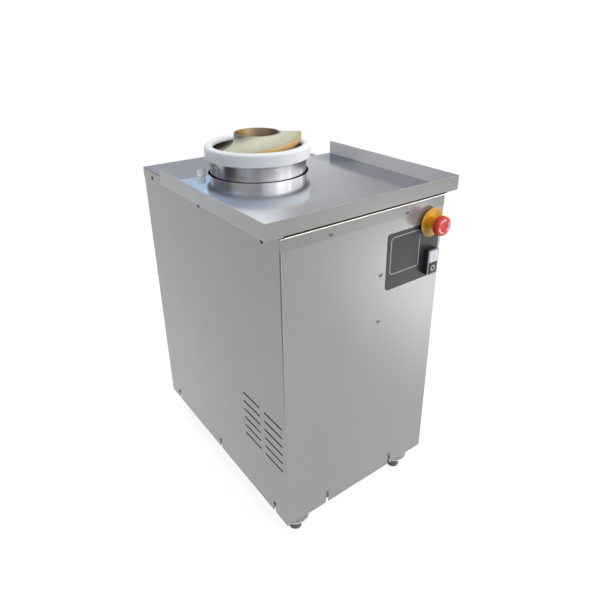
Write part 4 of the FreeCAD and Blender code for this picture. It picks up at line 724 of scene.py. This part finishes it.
# %% Ramp in the bore and square socket below it
def plug_points(turns=96, half_square=10.3, socket_top=18.3, slope=20):
    """Rings from the ramp's middle out to the bore, down the bore and in to the socket's floor. The ramp's
    height falls in line with the distance towards the window. A ring is pushed out to a square where its
    radius is divided by the larger of |cos| and |sin|."""
    angle = np.linspace(0, 2 * np.pi, turns, endpoint=False)[None, :]
    cos, sin = circle(turns)
    bore = RADIUS - WALL
    ramp_r = np.linspace(0, 1, 16)[:, None] * bore + 0 * angle
    square = half_square / np.maximum(np.abs(cos), np.abs(sin))
    to_window = np.cos(angle - START_ANGLE - (WINDOW_START + WINDOW_END) / 2)
    ramp_z = WINDOW_LOW + slope - ramp_r / bore * to_window * slope
    r = np.vstack([ramp_r, np.full_like(cos, bore), square, square, 0 * square])
    below = np.array([0, 0, socket_top, socket_top])[:, None] + 0 * angle
    return about_auger(r, cos, sin, np.vstack([ramp_z, below]))


plug = plug_points()
plug_sets = outward(plug, [grid_faces(*plug.shape[:2], close_rows=False)])
both = np.vstack([tube.reshape(-1, 3), plug.reshape(-1, 3)])
both_sets = outward(tube, tube_sets) + [faces + tube_rows * tube_columns for faces in plug_sets]
bronze_tube = piece("bronze_tube", both, both_sets, worn_bronze, "auger", "auger_metal", sharp=50)
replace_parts(bronze_tube, "auger_tube")

# %% [markdown]
# The emergency stop is three turned parts on one axis that points out of the front: a dished yellow
# collar with a neck, and a red mushroom head with soft edges. The arrows that show the release turn are
# three raised arcs on its face, each a thin strip that widens into a point.

# %% Emergency stop
plate_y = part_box("control_plate")[0].y / MM
stop_axis = (stop_x / MM, plate_y, stop_z / MM)
collar_profile = rounded(
    [(5.3, -22), (11, -22), (11, 0), (17, 0), (19.2, 1.1), (30, 7.9), (30, 9), (27.8, 9), (17, 3.3),
     (13, 3.3), (13, 25.5), (5.3, 25.5)],
    [0.2, 0.2, 0.2, 0.5, 0.8, 0.5, 0.5, 0.5, 1.2, 1, 0.5, 0.2],
    steps=5,
)
collar = turned(collar_profile, stop_axis, 160, to_front=True)
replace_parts(piece("yellow_collar", *collar, yellow_plastic, "cabinet", "plastic_yellow"), "estop_collar")
head_profile = rounded(
    [(0, 37), (5, 37), (5, 33), (13.6, 33), (13.6, 25.5), (18.4, 25.5), (19.4, 27.2), (19.4, 29), (20, 29.6),
     (20, 40.1), (14, 39.6), (0, 39.2)],
    [0.005, 0.1, 0.1, 0.1, 0.2, 0.5, 0.5, 0.3, 0.3, 4.2, 1.5, 0.005],
    steps=8,
)
mushroom = turned(head_profile, stop_axis, 160, to_front=True)
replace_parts(piece("red_head", *mushroom, red_plastic, "estop_knob", "plastic_red"), "estop_head")


# %% Turn arrows on the head
def turn_arrow(start, sweep=-88, radius=13, steps=40, shaft=1.1, barb=2.6, low=39, high=39.95):
    """A strip along an arc: half its width is the shaft's, then grows to the barb's and falls to nothing over
    the last third. Four corners of a section from the low to the high level are carried along it."""
    u = np.linspace(0, 1, steps)[None, :]
    half = np.where(u < 0.7, shaft, barb * np.clip((1 - u) / 0.3, 0, 1) + 0.02)
    out = np.array([low, low, high, high])[:, None]
    angle = math.radians(start) + math.radians(sweep) * u
    r = radius + np.array([-1, 1, 1, -1])[:, None] * half
    x, z = stop_axis[0] + r * np.cos(angle), stop_axis[2] + r * np.sin(angle)
    return np.stack([x, np.broadcast_to(plate_y - out, x.shape), z], axis=-1)


arrows = np.stack([turn_arrow(start) for start in (150, 30, 270)])
count, rows, columns = arrows.shape[:3]
arrow_sets = []
for number in range(count):
    one = outward(arrows[number], swept_faces(rows, columns))
    arrow_sets += [faces + number * rows * columns for faces in one]
piece("turn_arrows", arrows, arrow_sets, arrow_white, "estop_knob", "plastic_red")

# %% [markdown]
# Keys, key marks, the outline on the control plate and the feet are all soft-edged slabs or turned
# blocks. A slab is a rounded rectangle carried through a few depths, drawn in a little at each edge.


# %% Slabs with soft edges
def rounded_rectangle(width, height, corner, steps=9):
    """Points round a rectangle about the origin whose corners are quarter circles."""
    angle = (np.arange(4)[:, None] * np.pi / 2 + np.linspace(0, np.pi / 2, steps)[None, :]).ravel()
    side_x = np.repeat([1, -1, -1, 1], steps) * (width / 2 - corner)
    side_z = np.repeat([1, 1, -1, -1], steps) * (height / 2 - corner)
    return np.stack([side_x + corner * np.cos(angle), side_z + corner * np.sin(angle)], axis=1)


def slab_rings(centre, width, height, corner, layers, least):
    """Rings at (inset, out) layers: each is the rounded rectangle drawn in by its inset, out from the plate.
    No corner gets a radius under the least one."""
    rings = []
    for inset, out in layers:
        ring = rounded_rectangle(width - 2 * inset, height - 2 * inset, max(corner - inset, least))
        rings.append(np.insert(ring + centre, 1, plate_y - out, axis=1))
    return np.stack(rings)


def slab(centre, width, height, corner, layers):
    """A block, closed at both of its ends."""
    points = slab_rings(centre, width, height, corner, layers, 0.05)
    rows, columns = points.shape[:2]
    caps = [np.arange(columns)[None, ::-1], (np.arange(columns) + (rows - 1) * columns)[None, :]]
    return points, [grid_faces(rows, columns, close_rows=False)] + caps


def frame_slab(centre, width, height, corner, line, low, high):
    """A closed frame of one line width: outer and inner rounded rectangles at two depths, edges eased."""
    ease = min(0.25, line / 4)
    layers = [(0, low), (0, high - ease), (ease, high), (line - ease, high), (line, high - ease), (line, low)]
    points = slab_rings(centre, width, height, corner, layers, 0.3)
    return points, [grid_faces(*points.shape[:2])]


print("slab helpers ready")

# %% Control plate outline and switch
outline = frame_slab((mid_x / MM + 96, 615), 81, 80, corner=9, line=2.1, low=-0.1, high=0.12)
piece("plate_outline", *outline, label_line, "cabinet", "label_dark")

for node_name, body, key_finish, key_slot in (
    ("start_button", "start_key", light_plastic, "plastic_light"),
    ("stop_button", "stop_key", black_plastic, "plastic_black"),
):
    low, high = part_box(node_name)
    width, height = (high.x - low.x) / MM, (high.z - low.z) / MM
    out, back = plate_y - low.y / MM, plate_y - high.y / MM
    layers = [(0, back), (0, out - 1.4), (0.25, out - 0.6), (0.9, out - 0.12), (1.8, out), (4.5, out - 0.25)]
    key = slab(middle(node_name, MM)[::2], width, height, 2.2, layers)
    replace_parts(piece(body, *key, key_finish, body, key_slot), node_name)

key_x, _, start_z = middle("start_button", MM)
out = plate_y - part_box("start_button")[0].y / MM
bar = slab((key_x, start_z), 2.4, 11, 1, [(0, out - 1), (0, out - 0.1), (0.3, out + 0.1)])
piece("start_mark", *bar, grey_plastic, "start_key", "plastic_light")
loop = frame_slab((key_x, middle("stop_button", MM)[2]), 13, 13, 6.4, 2.6, out - 1, out + 0.1)
piece("stop_mark", *loop, label_line, "stop_key", "plastic_black")

# %% [markdown]
# A rubber foot is a turned block, a little narrower at the floor, with shallow ribs and a rounded lower
# edge. The screws have a shallow dome with a cross recess: the height over a disc is the dome less a
# cross whose arms fade at their ends, and one disc is copied to every screw's place and direction.


# %% Rubber feet
def foot_profile():
    """Radius grows in line from the floor to the top, less ribs of 0.35 mm every 5.5 mm."""
    z = np.linspace(2, 33.5, 64)
    r = 13.9 + 1.4 * z / 35 - 0.35 * np.clip(np.cos(2 * np.pi * z / 5.5), 0, 1) ** 6
    base = [(5.2, 0), (12.2, 0), (13.2, 0.4), (13.8, 1.1)]
    top = [(15.2, 34.4), (14.6, 35), (5.2, 35)]
    return np.vstack([base, np.stack([r, z], axis=1), top])


for name in named("rubber_foot"):
    foot = turned(foot_profile(), (*middle(name, MM)[:2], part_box(name)[0].z / MM), 96)
    new_name = name.replace("rubber_foot", "ribbed_foot")
    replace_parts(piece(new_name, *foot, rubber, "cabinet", "rubber_black"), name)


# %% Cross-head screws
def screw_heads(spots, ways, radius=5, dome=2.2, shank=2.5, length=5):
    """Every head is dome (1 - (r / R)^2) high, less a cross 1.3 mm deep with arms 0.75 mm wide to each side
    that fade at 3.1 mm. Below it the shank goes in. A head is turned about its own way by its number."""
    cos, sin = circle(48)
    r = np.concatenate([np.linspace(0, 3.4, 14), np.linspace(3.7, radius, 6)])[:, None]
    x, y = r * cos, r * sin
    arm = np.clip((0.95 - np.minimum(np.abs(x), np.abs(y))) / 0.4, 0, 1)
    z = dome * (1 - (r / radius) ** 2) - 1.3 * arm * np.clip((3.3 - r) / 0.9, 0, 1)
    under_r = np.array([shank, shank, 0])[:, None]
    under_z = np.array([0, -length, -length])[:, None] + 0 * cos
    local = np.stack(
        [np.vstack([x, under_r * cos]), np.vstack([y, under_r * sin]), np.vstack([z, under_z])], axis=-1
    )
    ways = np.asarray(ways, float)
    side = np.where(np.abs(ways[:, 2:3]) > 0.5, (1, 0, 0), (0, 0, 1))
    turn = np.arange(len(ways))[:, None] * 0.83 + 0.4
    across = side * np.cos(turn) + np.cross(ways, side) * np.sin(turn)
    axes = np.stack([across, np.cross(ways, across), ways], axis=1)
    points = np.einsum("rck,skx->srcx", local, axes) + np.asarray(spots, float)[:, None, None, :]
    rows, columns = local.shape[:2]
    one = outward(local, [grid_faces(rows, columns, close_rows=False)])[0]
    return points, [one + number * rows * columns for number in range(len(ways))]


centre_x, centre_y = mid_x / MM, mid_y / MM
HALF_X, HALF_Y, SHEET = 200, 290, 1.5
SIDE_SPREAD, NOTCH_SPREAD, FRONT_SPREAD, HIGH_Z, SIDE_LOW_Z, FRONT_LOW_Z = 236, 240, 93, 698.5, 87, 93
UNDER_LIP, MIDDLE_ZS = 3.5, (583, 479.5)
spots, ways = [], []
for side in (-1, 1):
    for share in (-1, 0, 1):
        high = HIGH_Z - (UNDER_LIP if share < 1 else 0)
        spots += [(centre_x + side * HALF_X, centre_y + share * SIDE_SPREAD, high)]
        spots += [(centre_x + side * (HALF_X - SHEET), centre_y + share * NOTCH_SPREAD, SIDE_LOW_Z)]
        ways += [(side, 0, 0)] * 2
    for share in (-1, 1):
        spots += [(centre_x + share * FRONT_SPREAD, centre_y + side * HALF_Y, HIGH_Z)]
        spots += [(centre_x + share * FRONT_SPREAD, centre_y + side * (HALF_Y - SHEET), FRONT_LOW_Z)]
        ways += [(0, side, 0)] * 2
spots += [(centre_x + 33, centre_y - HALF_Y + SHEET, z) for z in MIDDLE_ZS]
ways += [(0, -1, 0)] * 2
screws = piece("cabinet_screws", *screw_heads(spots, ways), screw_steel, "cabinet", "screw_steel", sharp=50)
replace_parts(screws, "panel_screws")
stud_low, stud_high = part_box("tray_screws")
stud_y, stud_z = middle("tray_screws", MM)[1], stud_high.z / MM - 2.2
spots = [(x, stud_y, stud_z) for x in (stud_low.x / MM + 5, stud_high.x / MM - 5)]
heads = screw_heads(spots, [(0, 0, 1)] * 2)
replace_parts(piece("tray_studs", *heads, bright_steel, "cabinet", "screw_steel", sharp=50), "tray_screws")
print("screws", len(ways) + len(spots))

# %% [markdown]
# The photograph's camera was found from the cabinet's straight edges: where it stands, how it is turned,
# its focal length and how far the picture was cropped off centre. A Blender camera takes the same values.

# %% Camera
IMAGE = 600
FOCAL_PX, YAW, PITCH_DOWN, ROLL = 539.9, 0.63933, 0.43163, -0.005785
CENTRE_PX = (308.97, 263.39)
place = Vector((mid_x - 0.63693, mid_y - 0.95762, 0.065 + 0.97528))
flat = math.cos(PITCH_DOWN)
ahead = Vector((math.sin(YAW) * flat, math.cos(YAW) * flat, -math.sin(PITCH_DOWN)))
level = Vector((math.cos(YAW), -math.sin(YAW), 0))
above = level.cross(ahead)
right = level * math.cos(ROLL) + above * math.sin(ROLL)
up = above * math.cos(ROLL) - level * math.sin(ROLL)
camera_data = bpy.data.cameras.new("camera")
camera_data.sensor_width = 36
camera_data.lens = FOCAL_PX / IMAGE * camera_data.sensor_width
camera_data.shift_x = (IMAGE / 2 - CENTRE_PX[0]) / IMAGE
camera_data.shift_y = (CENTRE_PX[1] - IMAGE / 2) / IMAGE
camera_data.clip_start, camera_data.clip_end = 0.05, 60
camera = placed("camera", camera_data)
camera.matrix_world = Matrix.Translation(place) @ Matrix((right, up, -ahead)).transposed().to_4x4()
bpy.context.scene.camera = camera
print("camera at", [round(v, 3) for v in place], "lens", round(camera_data.lens, 2))

# %% [markdown]
# The machine stands in a plain pale studio. The floor is white to the camera and in reflections through
# Light Path, and still takes a soft shadow. Metal shows what is around it, so the studio's soft lamps are
# tall sheets of light whose reflections make the bright bands on the drum, and a pale blue card behind
# gives the tray its cool sheen.


# %% Floor
def glossy_rays(owner):
    return node(owner, "LightPath").outputs["Is Glossy Ray"]


def seen_rays(owner):
    """One for camera, glossy and transmission rays, and nothing for the rest."""
    rays = node(owner, "LightPath").outputs
    straight = node(owner, "Math", rays["Is Camera Ray"], rays["Is Glossy Ray"], operation="MAXIMUM")
    return node(owner, "Math", straight, rays["Is Transmission Ray"], operation="MAXIMUM")


def show(owner, shader, output="Material Output"):
    feed(owner, owner.node_tree.nodes[output].inputs["Surface"], shader)


def floor_spot(mat):
    """A soft bright oval in front of the machine that only reflections see. It falls from its middle to
    nothing with the smooth step of the distance, measured in the oval's own turned and stretched frame."""
    oval = node(
        mat, "Mapping", vector_type="TEXTURE", Vector=coordinates(mat),
        Location=(1.2, -1.05, 0), Rotation=(0, 0, math.radians(-47)), Scale=(0.9, 0.5, 1),
    )
    distance = node(mat, "VectorMath", oval, operation="LENGTH")
    fall = smooth_fall(mat, distance, 0.2, 1.25, near=1.15)
    return node(mat, "Emission", Strength=overlap(mat, fall, glossy_rays(mat)))


def pale_floor(size=14):
    """To seen rays it is white light plus a faint diffuse part that takes the shadow, and further out than
    two metres white light alone. To all other rays it is a plain pale floor."""
    mesh = bpy.data.meshes.new("floor")
    corners = np.array([(-1, -1, 0), (1, -1, 0), (1, 1, 0), (-1, 1, 0)], float) * size
    mesh.from_pydata(corners.tolist(), [], [(0, 1, 2, 3)])
    floor = placed("floor", mesh)
    mat = finish("floor_white", (0.72, 0.72, 0.72), 0.9)
    faint = node(mat, "BsdfDiffuse", Color=(0.3, 0.3, 0.3, 1))
    glow = node(mat, "Emission", Strength=0.85)
    near = node(mat, "AddShader", glow, faint)
    distance = node(mat, "VectorMath", coordinates(mat), operation="LENGTH")
    far = node(mat, "MapRange", distance, 0.5, 2)
    seen = node(mat, "MixShader", far, near, node(mat, "Emission"))
    seen = node(mat, "AddShader", seen, floor_spot(mat))
    show(mat, node(mat, "MixShader", seen_rays(mat), shader_of(mat), seen))
    mesh.materials.append(mat)


pale_floor()
print("floor ready")


# %% World
def studio_world(fill=(0.38, 0.42, 0.49)):
    """White to seen rays, and a soft cool grey to all others."""
    world = bpy.data.worlds.new("studio")
    bpy.context.scene.world = world
    world.use_nodes = True
    background = world.node_tree.nodes["Background"]
    background.inputs["Color"].default_value = (*fill, 1)
    white = node(world, "Background", Color=(1, 1, 1, 1))
    show(world, node(world, "MixShader", seen_rays(world), background, white), "World Output")


studio_world()
print("world ready")

# %% [markdown]
# Each lamp is placed by where its reflection should fall: a compass angle from the back of the room
# towards the right, an elevation and a distance, all from the drum's rim. Its power follows from the
# radiance wanted, times pi, times its area.


# %% Lamps
def ways_out(compass, elevation):
    """Unit vectors at a compass angle (0 to the back, 90 to the right) and an elevation, in degrees."""
    turn, rise = np.radians(compass), np.radians(elevation)
    return np.stack([np.sin(turn) * np.cos(rise), np.cos(turn) * np.cos(rise), np.sin(rise)], axis=-1)


WARM, PALE, WHITE = (1, 0.95, 0.88), (1, 0.99, 0.985), (1, 1, 1)
STUDIO_CENTRE = Vector((drum_x, drum_y, cover_top))


def soft_lamp(name, compass, elevation, distance, width, height, radiance, colour=PALE, mirrored=True):
    """A rectangle of light that faces the drum, its height upright."""
    data = bpy.data.lights.new(name, "AREA")
    data.shape = "RECTANGLE"
    data.size, data.size_y = width, height
    data.energy = radiance * math.pi * width * height
    data.color = colour
    lamp = placed(name, data)
    lamp.location = STUDIO_CENTRE + Vector(ways_out(compass, elevation)) * distance
    lamp.rotation_euler = (STUDIO_CENTRE - lamp.location).to_track_quat("-Z", "Y").to_euler()
    lamp.visible_camera = False
    lamp.visible_glossy = mirrored


for name, compass, distance, width, radiance, colour in (
    ("band_dim", 196, 2.6, 0.7, 1.3, PALE),
    ("band_rise", 180.5, 2.6, 0.7, 2.2, PALE),
    ("band_peak", 162, 2.6, 0.85, 4.2, PALE),
    ("band_next", 144, 2.6, 0.8, 3.2, PALE),
    ("band_warm", 134, 2.58, 0.34, 1.6, WARM),
    ("band_far", 122.5, 2.6, 1.15, 2.2, PALE),
    ("band_last", 97, 2.6, 1.15, 1.8, PALE),
):
    soft_lamp(name, compass, 19, distance, width, 0.7, radiance, colour)
soft_lamp("side_right", 106, 2, 1.9, 0.9, 0.8, 3, mirrored=False)
soft_lamp("key_right", 135, 44, 2.6, 1.5, 1.2, 1.6, mirrored=False)
soft_lamp("top_soft", 340, 72, 2.3, 1.6, 1.6, 3.2, WHITE, mirrored=False)
print("lamps ready")

# %% [markdown]
# Steel on top of the machine mirrors the room behind it, which no lamp makes darker. Two curved cards do:
# they glow only for glossy rays, and their colour is worked out for each point from its compass angle and
# elevation, as a grey with a cool band, a bright band above it and a light patch.


# %% Cards for the reflections
def glow_card(name, compass, elevation, distance, paint, columns=72, rows=48):
    """A patch of a sphere round the drum's rim, with its colour kept as an attribute of its points."""
    turn, rise = np.meshgrid(np.linspace(*compass, columns), np.linspace(*elevation, rows))
    points = (np.array(STUDIO_CENTRE) + distance * ways_out(turn, rise)).reshape(-1, 3)
    mesh = bpy.data.meshes.new(name)
    mesh.from_pydata(points.tolist(), [], grid_faces(rows, columns, False, False).tolist())
    colours = mesh.color_attributes.new("glow", "FLOAT_COLOR", "POINT")
    shades = np.ones((rows * columns, 4))
    shades[:, :3] = paint(turn, rise).reshape(-1, 3)
    colours.data.foreach_set("color", shades.ravel())
    mat = bpy.data.materials.new(name + "_glow")
    mat.use_nodes = True
    mat.node_tree.nodes.remove(shader_of(mat))
    clear = node(mat, "BsdfTransparent")
    glow = node(mat, "Emission", node(mat, "Attribute", attribute_name="glow"))
    show(mat, node(mat, "MixShader", glossy_rays(mat), clear, glow))
    mesh.materials.append(mat)
    card = placed(name, mesh)
    card.visible_camera = card.visible_shadow = False


def ramp_up(value, low, high):
    """0 below low, 1 above high, and 3 t^2 - 2 t^3 between them."""
    t = np.clip((value - low) / (high - low), 0, 1)
    return t * t * (3 - 2 * t)


def blended(colour, other, share):
    return colour + share[..., None] * (np.asarray(other) - colour)


def back_paint(compass, elevation):
    """Grey, then a cool band from 14 to 19 degrees up at the left, a bright band above it and a light patch
    behind the drum, with the edges fading to white."""
    left = 1 - ramp_up(compass, 31, 37)
    shade = np.zeros(compass.shape + (3,)) + (0.55, 0.55, 0.56)
    light = ramp_up(compass, 31, 35) * (1 - ramp_up(compass, 40, 48)) * (1 - ramp_up(elevation, 12, 21))
    shade = blended(shade, (0.9, 0.9, 0.92), light)
    cool = left * ramp_up(elevation, 13, 15.5) * (1 - ramp_up(elevation, 19, 19.6))
    shade = blended(shade, (0.58, 0.77, 1.08), cool)
    bright = left * ramp_up(elevation, 19, 19.6) * (1 - ramp_up(elevation, 25, 31))
    shade = blended(shade, (1.35, 1.35, 1.36), bright)
    edge = 1 - ramp_up(compass, 2, 8) * (1 - ramp_up(compass, 62, 70)) * (1 - ramp_up(elevation, 40, 50))
    return blended(shade, WHITE, edge)


def side_paint(compass, elevation):
    """A cool grey that fades to white at its edges."""
    shade = ramp_up(compass, 272, 284) * (1 - ramp_up(compass, 346, 358)) * (1 - ramp_up(elevation, 34, 46))
    return blended(np.ones(compass.shape + (3,)), (0.4, 0.44, 0.55), shade)


glow_card("card_back", (2, 70), (3, 50), 8, back_paint)
glow_card("card_side", (272, 358), (3, 46), 6, side_paint)
print("cards ready")

bpy.context.scene.view_settings.view_transform = "Standard"
